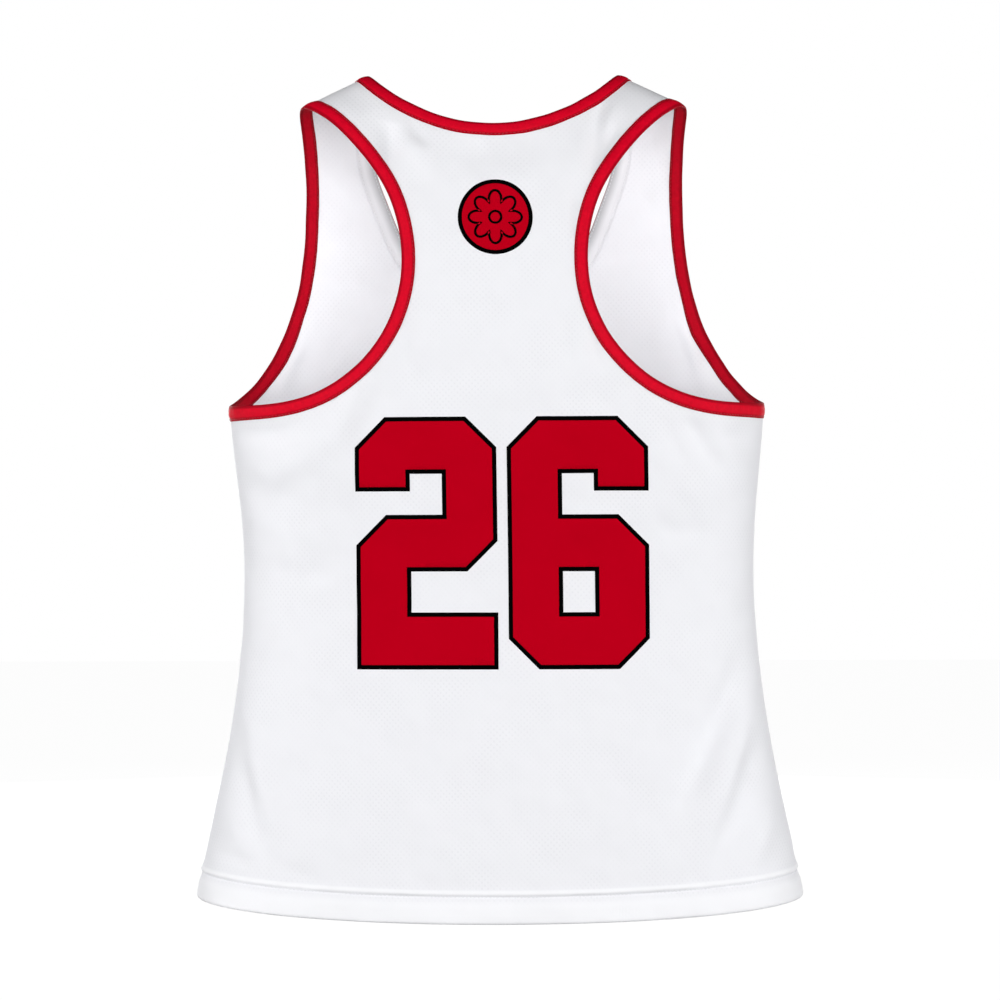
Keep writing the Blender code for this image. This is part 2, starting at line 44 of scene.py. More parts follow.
form = {
    "rings": [  # height, half width, depth of the back, depth of the front
        (-0.652, 0.2432, 0.1045, 0.1015),
        (-0.606, 0.2346, 0.1010, 0.0980),
        (-0.526, 0.2180, 0.0920, 0.0920),
        (-0.446, 0.2066, 0.0840, 0.0880),
        (-0.386, 0.2034, 0.0810, 0.0880),
        (-0.326, 0.2063, 0.0850, 0.0940),
        (-0.258, 0.2129, 0.0910, 0.1000),
        (-0.180, 0.2120, 0.0930, 0.0980),
        (-0.100, 0.2090, 0.0920, 0.0920),
        (0.060, 0.2050, 0.0900, 0.0880),
    ],
    "fullness": 0.36,  # how much boxier than an ellipse a ring is
    "domeHeight": 0.220,  # from the shoulder line down to where the garment is at its fullest
    "shoulderSlope": 0.50,
    "shoulderRound": 0.045,
    "strapMiddle": 0.1265,  # half width at which the straps are carried
    "lean": -0.0058,  # how far the garment leans to the side for each metre of height
    "leanHeight": -0.483,
    "tilt": 0.0040,  # how much the right underarm is higher than the left, for each metre across
    "tiltHeight": -0.25,
    "tiltReach": 0.07,
    "sway": 0.0017,  # how far the waist stands to the right of the garment's middle line
    "swayHeight": -0.42,
    "swayReach": 0.20,
    "strapRise": 0.0008,  # how far the straps' tops are drawn up, and how much more of it
    "strapRiseAcross": 0.0030,  # there is for each metre to the right
    "strapReach": 0.04,
    "probe": 1e-5,  # step of the differences that give the form's slope
    "rounds": (6, 8),  # of the searches for the form's surface and for a ring's height
}


def smoothTable(knots, values, at, closed=False):
    # cubic spline: each span is the straight line between its two values plus the bend terms
    # (t^3 - t) times the second derivatives at its ends, which one linear system gives
    values = np.asarray(values, float).reshape(len(knots), -1)
    steps = np.diff(knots)
    slopes = np.diff(values, axis=0) / steps[:, None]
    matrix = np.diag(np.r_[1.0, 2 * (steps[:-1] + steps[1:]), 1.0])
    matrix += np.diag(np.r_[0.0, steps[1:]], 1) + np.diag(np.r_[steps[:-1], 0.0], -1)
    right = np.zeros_like(values)
    right[1:-1] = 6 * (slopes[1:] - slopes[:-1])
    if closed:  # the last knot repeats the first
        matrix[0, [0, 1, -2]] = 2 * (steps[0] + steps[-1]), steps[0], steps[-1]
        right[0] = 6 * (slopes[0] - slopes[-1])
        matrix[-1, 0] = -1
    bends = np.linalg.solve(matrix, right)
    at = np.asarray(at, float)
    cell = np.clip(np.searchsorted(knots, at) - 1, 0, len(knots) - 2)
    step = steps[cell][..., None]
    before = (knots[cell + 1] - at)[..., None] / step
    after = 1 - before
    bend = (before**3 - before) * bends[cell] + (after**3 - after) * bends[cell + 1]
    return before * values[cell] + after * values[cell + 1] + bend * step**2 / 6


def bell(distance, halfWidth):
    # 1 at the middle, falling off as exp(-(distance / half width)^2)
    return np.exp(-((distance / halfWidth) ** 2))


def pathLength(points):
    # length of a path from its start to each of its points
    return np.r_[0, np.cumsum(np.linalg.norm(np.diff(points, axis=0), axis=1))]


def readPath(values, length, where):
    # values along a path, read at lengths between its points
    return np.stack([np.interp(where, length, values[:, k]) for k in range(3)], -1)


ringKnots = np.array([ring[0] for ring in form["rings"]])
ringSizes = np.array([ring[1:] for ring in form["rings"]])


def ringAt(height):
    # half width and the two depths, read from the smooth table of rings
    sizes = smoothTable(ringKnots, ringSizes, height)
    return sizes[..., 0], sizes[..., 1], sizes[..., 2]


def shoulderLine(across):
    # a slope on each side, rounded off over the centre: level minus slope times hypot(x, round)
    level = math.hypot(form["strapMiddle"], form["shoulderRound"])
    return form["shoulderSlope"] * (level - np.hypot(across, form["shoulderRound"]))


def formGap(points):
    # (y / depth)^2 less what the ring and the dome leave at this x and z: 0 on the form
    x, y, z = points.T
    halfWidth, back, front = ringAt(z)
    share = (x / halfWidth) ** 2
    fall = (shoulderLine(x) - z) / form["domeHeight"]
    dome = np.where(fall < 1, fall * (2 - fall), 1.0)
    return (y / np.where(y < 0, back, front)) ** 2 - dome * (1 - share) * (
        1 + form["fullness"] * share
    ) ** 2


def formSlope(points):
    # gradient of formGap by central differences
    probe = form["probe"]
    gaps = [formGap(points + step) - formGap(points - step) for step in np.eye(3) * probe]
    return np.stack(gaps, 1) / (2 * probe)


def settled(points):
    # Newton steps straight towards the form
    for _ in range(form["rounds"][0]):
        slope = formSlope(points)
        points = points - slope * (formGap(points) / (slope**2).sum(1))[:, None]
    return points


def unit(vectors):
    return vectors / np.linalg.norm(vectors, axis=-1)[..., None]


def facingOut(points):
    return unit(formSlope(points))


def onForm(turn, fall):
    # turn goes round from centre back (0) by the side seam (pi/2) to centre front (pi), and fall
    # down the dome from the shoulder line (0) to its foot (pi/2) and on below it
    turn, fall = np.broadcast_arrays(turn, fall)
    dome = np.minimum(fall, math.pi / 2)
    drop = form["domeHeight"] * (1 - np.cos(dome) + fall - dome)
    z = -drop
    for _ in range(form["rounds"][1]):
        halfWidth, back, front = ringAt(z)
        x = halfWidth * np.sin(turn)
        z = shoulderLine(x) - drop
    depth = np.where(np.cos(turn) > 0, back, front) * (1 + form["fullness"] * np.sin(turn) ** 2)
    return np.stack([x, -depth * np.cos(turn) * np.sin(dome), z], -1)


def toChart(points):
    # turn and fall of points on the form
    x, y, z = points.T
    drop = (shoulderLine(x) - z) / form["domeHeight"]
    turn = np.arcsin(np.clip(np.abs(x) / ringAt(z)[0], 0, 1))
    turn = np.where(y < 0, turn, math.pi - turn)
    fall = np.where(drop < 1, np.arccos(np.clip(1 - drop, 0, 1)), math.pi / 2 + drop - 1)
    return turn, fall


def onSide(side, across, height):
    # the point of the back or the front that shows straight on at this place
    halfWidth, back, front = ringAt(height)
    share = np.clip((across / halfWidth) ** 2, 0, 1)
    fall = np.clip((shoulderLine(across) - height) / form["domeHeight"], 0, 1)
    depth = np.sqrt(fall * (2 - fall) * (1 - share)) * (1 + form["fullness"] * share)
    return np.stack([across, -back * depth if side == "back" else front * depth, height], -1)


# ---- folds, drag lines and the small unevenness of hanging cloth

folds = {
    "back": [  # path x1 z1, x2 z2, x3 z3, half width, height
        (0.1887, -0.4498, 0.1660, -0.5119, 0.1330, -0.5780, 0.0120, -0.0060),
        (0.1960, -0.4748, 0.1770, -0.5429, 0.1540, -0.6049, 0.0120, 0.0052),
        (0.2010, -0.5119, 0.1840, -0.5662, 0.1600, -0.6200, 0.0110, -0.0042),
        (0.2140, -0.5584, 0.2050, -0.5894, 0.1960, -0.6126, 0.0090, 0.0030),
        (-0.2000, -0.4748, -0.1870, -0.5376, -0.1620, -0.6003, 0.0120, 0.0032),
        (-0.2026, -0.5140, -0.1971, -0.5611, -0.1854, -0.5964, 0.0090, -0.0032),
        (-0.2089, -0.5729, -0.2026, -0.5886, -0.1932, -0.6003, 0.0080, 0.0020),
        (-0.2277, -0.6003, -0.2081, -0.6066, -0.1854, -0.6082, 0.0065, -0.0022),
        (-0.1752, -0.6042, -0.1595, -0.6144, -0.1414, -0.6223, 0.0080, -0.0015),
        (-0.2060, -0.2680, -0.1800, -0.2740, -0.1480, -0.2680, 0.0100, -0.0042),
        (-0.1960, -0.2960, -0.1650, -0.3000, -0.1260, -0.2760, 0.0110, 0.0030),
        (-0.1980, -0.3180, -0.1760, -0.3260, -0.1500, -0.3180, 0.0110, -0.0016),
        (0.2060, -0.2680, 0.1860, -0.2760, 0.1600, -0.2700, 0.0090, -0.0030),
        (0.1500, -0.2620, 0.1580, -0.2780, 0.1740, -0.3000, 0.0080, -0.0030),
        (0.1680, -0.2660, 0.1820, -0.2920, 0.1940, -0.3220, 0.0100, 0.0026),
        (0.1340, -0.2620, 0.1380, -0.2820, 0.1460, -0.3000, 0.0090, -0.0018),
        (-0.0970, -0.2260, -0.1110, -0.2480, -0.1230, -0.2790, 0.0080, 0.0028),
        (-0.0850, -0.2320, -0.0960, -0.2560, -0.1120, -0.2790, 0.0090, -0.0014),
        (-0.0720, -0.2050, -0.0620, -0.2260, -0.0540, -0.2440, 0.0110, -0.0024),
        (-0.0780, -0.1940, -0.0760, -0.2210, -0.0700, -0.2440, 0.0070, 0.0014),
        (0.0750, -0.1900, 0.0800, -0.2100, 0.0840, -0.2310, 0.0080, -0.0024),
        (0.0620, -0.1940, 0.0660, -0.2170, 0.0730, -0.2420, 0.0090, 0.0016),
        (-0.0790, -0.0300, -0.0820, -0.0470, -0.0850, -0.0690, 0.0080, -0.0036),
        (-0.0680, -0.0300, -0.0600, -0.0520, -0.0480, -0.0780, 0.0110, 0.0022),
        (-0.0640, -0.0300, -0.0590, -0.0410, -0.0500, -0.0490, 0.0060, -0.0016),
        (-0.0460, -0.0480, -0.0160, -0.0560, 0.0160, -0.0480, 0.0100, -0.0014),
        (-0.0300, -0.0760, 0.0000, -0.0800, 0.0340, -0.0740, 0.0120, 0.0014),
        (0.0850, -0.0146, 0.0828, -0.0350, 0.0756, -0.0715, 0.0065, -0.0036),
        (0.0990, -0.0300, 0.0910, -0.0470, 0.0820, -0.0620, 0.0060, -0.0028),
        (0.0920, -0.0160, 0.0900, -0.0270, 0.0870, -0.0390, 0.0050, 0.0016),
        (0.0650, -0.0320, 0.0640, -0.0560, 0.0620, -0.0800, 0.0080, 0.0018),
        (0.0630, -0.0890, 0.0615, -0.1050, 0.0630, -0.1240, 0.0070, -0.0024),
        (-0.0560, -0.0960, -0.0500, -0.1180, -0.0480, -0.1460, 0.0100, 0.0016),
        (-0.0590, -0.1010, -0.0530, -0.1240, -0.0560, -0.1410, 0.0090, -0.0016),
        (0.0500, -0.1720, 0.0540, -0.1960, 0.0680, -0.2220, 0.0090, -0.0020),
        (-0.0560, -0.1640, -0.0620, -0.1960, -0.0820, -0.2260, 0.0090, -0.0018),
        (-0.0940, -0.2220, -0.0660, -0.2060, -0.0360, -0.2020, 0.0120, 0.0014),
        (0.1040, -0.2360, 0.0800, -0.2260, 0.0460, -0.2360, 0.0120, 0.0014),
        (-0.0200, -0.1720, 0.0060, -0.1820, 0.0340, -0.1760, 0.0130, -0.0014),
        (-0.0360, -0.2160, -0.0140, -0.2240, 0.0100, -0.2180, 0.0120, -0.0012),
        (0.1220, -0.3440, 0.1400, -0.3520, 0.1640, -0.3500, 0.0080, -0.0014),
        (-0.1220, -0.3720, -0.1460, -0.3840, -0.1720, -0.3800, 0.0100, -0.0014),
        (0.0200, -0.4620, 0.0060, -0.4800, -0.0160, -0.4860, 0.0110, -0.0012),
        (-0.0800, -0.5000, -0.0400, -0.5480, -0.0100, -0.6060, 0.0240, -0.0014),
        (0.0300, -0.4800, 0.0460, -0.5400, 0.0500, -0.6040, 0.0240, 0.0014),
    ],
    "front": [
        (-0.200, -0.470, -0.184, -0.540, -0.144, -0.616, 0.0110, -0.0044),
        (-0.186, -0.440, -0.166, -0.520, -0.128, -0.588, 0.0140, 0.0028),
        (-0.214, -0.545, -0.202, -0.580, -0.178, -0.612, 0.0090, 0.0022),
        (0.202, -0.480, 0.194, -0.545, 0.172, -0.606, 0.0110, -0.0034),
        (0.184, -0.460, 0.170, -0.525, 0.150, -0.596, 0.0140, 0.0022),
        (0.216, -0.560, 0.204, -0.588, 0.180, -0.614, 0.0080, -0.0022),
        (0.206, -0.268, 0.182, -0.288, 0.146, -0.300, 0.0120, -0.0028),
        (0.200, -0.300, 0.172, -0.318, 0.132, -0.322, 0.0130, 0.0020),
        (-0.206, -0.266, -0.184, -0.282, -0.150, -0.290, 0.0110, -0.0026),
        (-0.200, -0.294, -0.174, -0.308, -0.138, -0.312, 0.0130, 0.0018),
        (-0.174, -0.230, -0.164, -0.200, -0.152, -0.158, 0.0070, -0.0014),
        (-0.160, -0.236, -0.140, -0.210, -0.128, -0.170, 0.0110, 0.0010),
        (0.178, -0.234, 0.164, -0.206, 0.158, -0.170, 0.0070, -0.0014),
        (0.160, -0.240, 0.146, -0.214, 0.136, -0.184, 0.0100, 0.0010),
        (-0.142, -0.062, -0.128, -0.080, -0.112, -0.090, 0.0080, -0.0012),
        (-0.128, -0.106, -0.134, -0.126, -0.142, -0.140, 0.0090, -0.0010),
        (0.136, -0.050, 0.126, -0.074, 0.110, -0.088, 0.0080, -0.0012),
        (-0.122, -0.015, -0.128, -0.032, -0.134, -0.053, 0.0080, -0.0018),
        (-0.122, -0.045, -0.110, -0.051, -0.101, -0.065, 0.0070, -0.0014),
        (-0.142, -0.092, -0.124, -0.096, -0.101, -0.099, 0.0110, -0.0014),
        (-0.123, -0.197, -0.135, -0.218, -0.152, -0.233, 0.0080, -0.0020),
        (0.121, -0.011, 0.133, -0.048, 0.144, -0.102, 0.0050, -0.0016),
        (0.133, -0.007, 0.144, -0.036, 0.149, -0.077, 0.0045, 0.0014),
        (0.106, -0.061, 0.121, -0.090, 0.139, -0.119, 0.0065, -0.0014),
        (0.120, -0.222, 0.141, -0.233, 0.166, -0.236, 0.0070, -0.0024),
        (0.143, -0.160, 0.153, -0.181, 0.160, -0.203, 0.0045, -0.0018),
        (0.157, -0.166, 0.163, -0.198, 0.171, -0.240, 0.0055, -0.0032),
        (-0.158, -0.192, -0.171, -0.214, -0.179, -0.240, 0.0065, -0.0032),
        (-0.070, -0.166, -0.046, -0.190, -0.010, -0.196, 0.0100, -0.0014),
        (0.074, -0.170, 0.052, -0.194, 0.022, -0.204, 0.0120, 0.0010),
        (-0.030, -0.330, 0.020, -0.352, 0.080, -0.350, 0.0180, -0.0012),
        (-0.110, -0.400, -0.060, -0.420, 0.000, -0.414, 0.0200, 0.0012),
        (0.040, -0.460, 0.060, -0.540, 0.056, -0.610, 0.0220, -0.0014),
        (-0.050, -0.470, -0.046, -0.540, -0.070, -0.606, 0.0240, 0.0014),
    ],
    "ripples": [  # waves across x, waves across z, start, height
        (11.0, 7.0, 0.3, 0.00034),
        (-8.0, 13.0, 1.9, 0.00034),
        (19.0, -15.0, 4.1, 0.00022),
        (6.0, 25.0, 2.6, 0.00022),
        (31.0, 22.0, 5.2, 0.00012),
        (-37.0, 29.0, 0.9, 0.00012),
        (45.0, -12.0, 3.3, 0.00007),
        (-14.0, 52.0, 5.9, 0.00007),
    ],
    "seamFade": 0.014,  # a fold dies away this near to a side or shoulder seam
    "pathPoints": 15,
    "reach": 3,  # half widths from its path at which a fold is taken as gone
    "ends": (0.07, 0.86),  # a fold runs over this part of a half sine wave: start, length
}


def foldHeight(points):
    # for each fold, its height times a bell of the distance from its path, a parabola through
    # its three points, times a sine over its length; and a few long slanted sine waves
    x, y, z = points.T
    height = np.zeros(len(points))
    share = np.linspace(0, 1, folds["pathPoints"])[:, None]
    start, length = folds["ends"]
    for side, facing in (("back", -1), ("front", 1)):
        near = np.flatnonzero(y * facing > 0)
        spot = np.stack([x[near], z[near]], 1)
        moved = np.zeros(len(near))
        for x1, z1, x2, z2, x3, z3, halfWidth, top in folds[side]:
            first, middle, last = (np.array(p) for p in ((x1, z1), (x2, z2), (x3, z3)))
            handle = 2 * middle - (first + last) / 2
            path = (1 - share) ** 2 * first + 2 * share * (1 - share) * handle + share**2 * last
            reach = folds["reach"] * halfWidth
            low, high = path.min(0) - reach, path.max(0) + reach
            close = np.flatnonzero(((spot > low) & (spot < high)).all(1))
            ray, span = spot[close, None] - path[None, :-1], np.diff(path, axis=0)
            along = np.clip((ray * span).sum(2) / (span**2).sum(1), 0, 1)
            away = np.linalg.norm(ray - along[..., None] * span, axis=2)
            best = away.argmin(1)
            rows = np.arange(len(close))
            place = (best + along[rows, best]) / len(span)
            fade = np.sin(math.pi * np.clip(place * length + start, 0, 1))
            moved[close] += top * fade * bell(away[rows, best], halfWidth)
        for wavesX, wavesZ, phase, top in folds["ripples"]:
            turns = wavesX * spot[:, 0] * facing + wavesZ * spot[:, 1]
            moved += top * np.sin(2 * math.pi * turns + phase + facing)
        height[near] = moved
    return height * (1 - bell(y, folds["seamFade"]))


def placed(points, facing, lift):
    # a point of the form moved along the form's normal by its lift and the folds, then leant
    # over, with the waist, the underarms and the straps' tops shifted by bells over the height
    where = points + facing * (np.broadcast_to(lift, len(points)) + foldHeight(points))[:, None]
    x, _, z = where.T.copy()
    waist = bell(z - form["swayHeight"], form["swayReach"])
    underarm = bell(z - form["tiltHeight"], form["tiltReach"])
    strap = bell(z, form["strapReach"])
    where[:, 0] += form["lean"] * (z - form["leanHeight"]) + form["sway"] * waist
    where[:, 2] += form["tilt"] * x * underarm
    where[:, 2] += (form["strapRise"] + form["strapRiseAcross"] * x) * strap
    return where


# ---- meshes

finish = {"sharpAngle": math.radians(50), "bevelAngle": math.radians(55), "bevelSegments": 2}


def gridFaces(rows, columns, roundRows=False, roundColumns=False):
    # quads between neighbouring points of a grid stored row by row
    i = np.arange(rows if roundRows else rows - 1)[:, None]
    j = np.arange(columns if roundColumns else columns - 1)[None]
    here, there = i * columns, (i + 1) % rows * columns
    right = (j + 1) % columns
    return np.stack([here + j, here + right, there + right, there + j], -1).reshape(-1, 4)


def makeMesh(name, points, faces, material, uv=None, sharp=True):
    # faces holds arrays of faces, each with its own number of corners
    mesh = bpy.data.meshes.new(name)
    mesh.from_pydata(points.tolist(), [], [face for part in faces for face in part.tolist()])
    if uv is not None:
        corner = np.empty(len(mesh.loops), np.int32)
        mesh.loops.foreach_get("vertex_index", corner)
        layer = mesh.uv_layers.new(name="cloth")
        layer.data.foreach_set("uv", uv[corner].astype(np.float32).ravel())
    mesh.shade_smooth()
    if sharp:
        mesh.set_sharp_from_angle(angle=finish["sharpAngle"])
    mesh.materials.append(material)
    mesh.update()
    piece = bpy.data.objects.new(name, mesh)
    bpy.context.scene.collection.objects.link(piece)
    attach(piece, "root")
    return piece


def addLayer(piece, name, values):
    # a number for each point of the mesh, which a material reads
    layer = piece.data.attributes.new(name, "FLOAT", "POINT")
    layer.data.foreach_set("value", values.astype(np.float32))


def facedOut(points, faces, facing):
    # the faces, turned round if the first of them looks against its first point's facing
    a, b, c = points[faces[0][0]], points[faces[0][1]], points[faces[0][-1]]
    return faces if np.cross(b - a, c - a) @ facing[faces[0][0]] > 0 else faces[:, ::-1]


def openEdges(faces):
    # directed edges that only one face uses
    start, end = faces.ravel(), np.roll(faces, -1, axis=1).ravel()
    keys = np.minimum(start, end) * (faces.max() + 1) + np.maximum(start, end)
    _, place, uses = np.unique(keys, return_index=True, return_counts=True)
    only = place[uses == 1]
    return start[only], end[only]


def clothWall(name, points, faces, outer, inner, material, uv=None, bevel=None):
    # two sheets, outer and inner above the form, joined round their open edges
    facing = facingOut(points)
    top, under = placed(points, facing, outer), placed(points, facing, inner)
    faces = facedOut(top, faces, facing)
    start, end = openEdges(faces)
    count = len(points)
    rim = np.stack([end, start, start + count, end + count], 1)
    both = None if uv is None else np.vstack([uv, uv])
    walls = [faces, faces[:, ::-1] + count, rim]
    piece = makeMesh(name, np.vstack([top, under]), walls, material, both)
    if bevel:
        rounding = piece.modifiers.new("rounded edges", "BEVEL")
        rounding.width, rounding.segments = bevel, finish["bevelSegments"]
        rounding.limit_method, rounding.angle_limit = "ANGLE", finish["bevelAngle"]
    return piece


# ---- finished edges of the neck and armholes

edges = {
    "neck": [  # half of it, centre back to centre front: side, across, height
        ("back", 0.0000, -0.0325),
        ("back", 0.0290, -0.0295),
        ("back", 0.0480, -0.0235),
        ("back", 0.0620, -0.0170),
        ("back", 0.0810, -0.0045),
        ("back", 0.0915, 0.0045),
        ("ridge", 0.1012, 0.0),
        ("front", 0.1010, -0.0150),
        ("front", 0.0970, -0.0570),
        ("front", 0.0890, -0.0800),
        ("front", 0.0765, -0.1110),
        ("front", 0.0560, -0.1420),
        ("front", 0.0300, -0.1600),
        ("front", 0.0000, -0.1660),
    ],
    "armhole": [  # side seam, up the back, over the strap and down the front
        ("side", 0.2139, -0.2494),
        ("back", 0.1970, -0.2508),
        ("back", 0.1784, -0.2502),
        ("back", 0.1517, -0.2456),
        ("back", 0.1240, -0.2334),
        ("back", 0.1020, -0.2154),
        ("back", 0.0850, -0.1920),
        ("back", 0.0745, -0.1640),
        ("back", 0.0718, -0.1400),
        ("back", 0.0752, -0.1090),
        ("back", 0.0820, -0.0880),
        ("back", 0.0935, -0.0675),
        ("back", 0.1093, -0.0469),
        ("back", 0.1290, -0.0268),
        ("back", 0.1400, -0.0185),
        ("ridge", 0.1535, 0.0),
        ("front", 0.1548, -0.0260),
        ("front", 0.1532, -0.0530),
        ("front", 0.1536, -0.0910),
        ("front", 0.1570, -0.1290),
        ("front", 0.1635, -0.1620),
        ("front", 0.1725, -0.1880),
        ("front", 0.1855, -0.2140),
        ("front", 0.2000, -0.2345),
        ("front", 0.2105, -0.2460),
    ],
    "spanSteps": 40,
    "onLine": 1e-5,  # as near as this, a point is on the middle line or on a seam
    "walkStep": 0.0018,  # longest single step over the form
}


def edgePoints(table):
    # the places of a table as points: on the shoulder line, on the side seam or on a face
    spots = []
    for side, across, height in table:
        if side == "ridge":
            spots.append((across, 0.0, float(shoulderLine(across))))
        elif side == "side":
            spots.append((float(ringAt(height)[0]), 0.0, height))
        else:
            spots.append(tuple(onSide(side, np.float64(across), np.float64(height))))
    return np.array(spots)


def closedCurve(spots):
    # closed cubic spline through the spots by their distances, settled on the form
    loop = np.vstack([spots, spots[:1]])
    knots = pathLength(loop)
    shares = np.arange(edges["spanSteps"]) / edges["spanSteps"]
    places = (knots[:-1, None] + np.diff(knots)[:, None] * shares).ravel()
    return settled(smoothTable(knots, loop, places, closed=True))


def evenSteps(curve, count):
    # points at equal lengths along an open curve
    length = pathLength(curve)
    return readPath(curve, length, np.linspace(0, length[-1], count + 1))


def ridgeStep(table):
    return edges["spanSteps"] * [row[0] for row in table].index("ridge")


def neckLoop(backSteps, frontSteps):
    # from centre back round by +X and home again, the second half a mirror of the first
    half = edgePoints(edges["neck"])
    curve = closedCurve(np.vstack([half, half[1:-1][::-1] * (-1, 1, 1)]))
    ridge, last = ridgeStep(edges["neck"]), edges["spanSteps"] * (len(edges["neck"]) - 1)
    back = evenSteps(curve[: ridge + 1], backSteps)
    front = evenSteps(curve[ridge : last + 1], frontSteps)
    right = np.vstack([back, front[1:]])
    right[0, 0] = right[-1, 0] = 0.0
    return settled(np.vstack([right, right[1:-1][::-1] * (-1, 1, 1)]))


def armholeLoop(backSteps, frontSteps):
    # at +X: from the side seam up the back, over the strap and down the front
    curve = closedCurve(edgePoints(edges["armhole"]))
    ridge = ridgeStep(edges["armhole"])
    back = evenSteps(curve[: ridge + 1], backSteps)
    front = evenSteps(np.vstack([curve[ridge:], curve[:1]]), frontSteps)
    return settled(np.vstack([back, front[1:-1]]))


def alongLoop(loop):
    # from each point's neighbour to the next, and straight through the seams
    steps = np.roll(loop, -1, axis=0) - np.roll(loop, 1, axis=0)
    onSeam = (np.abs(loop[:, 1]) < edges["onLine"]) & (np.abs(loop[:, 0]) > edges["onLine"])
    steps[onSeam] *= (0, 1, 0)
    return steps


def intoCloth(loop, distance):
    # walked over the form by distance, square to the loop and away from the hole
    forward = alongLoop(loop) * (-1 if abs(loop[0, 0]) < edges["onLine"] else 1)
    distance = np.broadcast_to(distance, len(loop))[:, None]
    steps = max(1, math.ceil(np.abs(distance).max() / edges["walkStep"]))
    for _ in range(steps):
        sideways = unit(np.cross(facingOut(loop), forward))
        loop = settled(loop + sideways * distance / steps)
    return loop


# ---- panels

panels = {
    "cloth": 0.0009,  # one layer of mesh jersey
    "underBinding": 0.0060,  # from the finished edge to where the cloth ends inside the binding
    "edgeRound": 0.0004,
    "columns": 66,  # from the centre line to the side
    "torsoRows": 96,
    # rows along the armhole and along the neck, where the centre line is when the rows have come
    # to the underarm, and how they are crowded from there up to the neck
    "back": {"armhole": 128, "neck": 48, "centreUnderArmhole": -0.330, "climb": 1.6},
    "front": {"armhole": 104, "neck": 78, "centreUnderArmhole": -0.290, "climb": 1.6},
    "rowBend": 2.0,
    "mapSteps": (13, 400),  # steps round the form and down its centre line that measure the cloth
    "sideGap": 0.00012,  # half the gap at the side and shoulder seams
    "seamDip": 0.0007,
    "seamDipWidth": 0.0022,
}
hem = {
    "side": -0.6415,
    "drop": 0.0105,  # how much lower it is at the centre than at the sides
    "depth": 0.0206,
    "top": 0.2,  # heights over the hem are counted no further than this
    "rowHeights": [(0.0, 0.0030, 8), (0.0030, 0.0190, 9), (0.0190, 0.0340, 30)],  # from, to, rows
    "fold": 0.0008,  # the turned-up layer
    "foldSoft": 0.0004,
    "stitchLine": 0.0208,
    "stitches": [  # name, height over the edge, height over the form, and which way they face
        ("hemStitches", 0.0208, -0.00030, 1),
        ("hemStitchesInside", 0.0200, -0.00160, -1),
    ],
    "steps": 720,  # points round the hem that the stitches follow
    "dip": (0.0008, 0.0004),  # half width and depth of the groove along the stitches
    "band": (0.0055, 0.0015),  # below it the hem swells out over this height by this much
    "ridge": (0.0017, 0.0055, 0.0016),  # above it the cloth rolls out: rise, fall and height
    "roundEdge": (0.0010, 0.0013),  # how high the lower edge is rounded, and how far in it goes
    "pucker": [(173.0, 0.4, 0.00028), (97.0, 2.1, 0.00024), (259.0, 5.0, 0.00016)],  # waves, start, height
    "puckerPlace": (0.0240, 0.0050),  # middle and half width of the part that puckers
    "paleRidge": (0.0240, 0.0019, 0.80),  # the ridge's holes are shut, and it is drawn paler as a painted highlight
    "paleBand": (0.0165, 0.0012, 0.70),  # and so is the band below this height, by this share: partly the doubled cloth's own whiteness, partly painted light
}


def hemHeight(turn):
    # lowest at the centre: side height minus drop times cos(turn)^2
    return hem["side"] - hem["drop"] * np.cos(turn) ** 2


def fallOf(turn, height):
    # below the dome, fall goes on by the drop over the dome's height
    drop = shoulderLine(ringAt(height)[0] * np.sin(turn)) - height
    return math.pi / 2 + drop / form["domeHeight"] - 1


def halfPanel(side, neckCut, armholeCut):
    # rows of turn and fall for x >= 0: level ones from the hem, then rows that run from the
    # centre line or the neck to the armhole, bent up towards the underarm
    sizes = panels[side]
    facing = 0.0 if side == "back" else math.pi
    share = np.linspace(0, 1, panels["columns"] + 1)
    turns = facing + (math.pi / 2 - facing) * share
    armholeTurn, armholeFall = toChart(armholeCut)
    neckTurn, neckFall = toChart(neckCut)
    armholeTurn[0], neckTurn[0] = math.pi / 2, facing
    for turnsOfCut, falls in ((armholeTurn, armholeFall), (neckTurn, neckFall)):
        turnsOfCut[-1] = abs(facing - math.asin(math.sin(turnsOfCut[-1])))  # on the shoulder line
        falls[-1] = 0.0
    centreFall = float(fallOf(facing, sizes["centreUnderArmhole"]))
    bent = centreFall + (armholeFall[0] - centreFall) * share ** panels["rowBend"]
    low = hemHeight(turns)
    lows = [np.linspace(start, end, count, False) for start, end, count in hem["rowHeights"]]
    lows = np.r_[np.concatenate(lows), hem["rowHeights"][-1][1]][:, None]
    hemFall = fallOf(turns, low + lows)
    rise = np.linspace(0, 1, panels["torsoRows"] + 1)[1:, None]
    torsoFall = hemFall[-1] + (bent - hemFall[-1]) * rise
    centreRows = sizes["armhole"] - sizes["neck"]
    climb = np.linspace(0, 1, centreRows + 1)[:-1] ** sizes["climb"]
    innerTurn = np.r_[np.full(centreRows, facing), neckTurn]
    innerFall = np.r_[centreFall + (neckFall[0] - centreFall) * climb, neckFall]
    row = np.arange(1, sizes["armhole"] + 1)[:, None]
    bend = 1 + (panels["rowBend"] - 1) * np.maximum(0, 1 - row / centreRows)
    first, last = innerTurn[1:, None], armholeTurn[1:, None]
    upperTurn = first + (last - first) * share
    first, last = innerFall[1:, None], armholeFall[1:, None]
    upperFall = first + (last - first) * share**bend
    turn = np.vstack([np.tile(turns, (len(hemFall) + len(torsoFall), 1)), upperTurn])
    fall = np.vstack([hemFall, torsoFall, upperFall])
    return turn, fall, len(turn) - 1 - sizes["neck"]


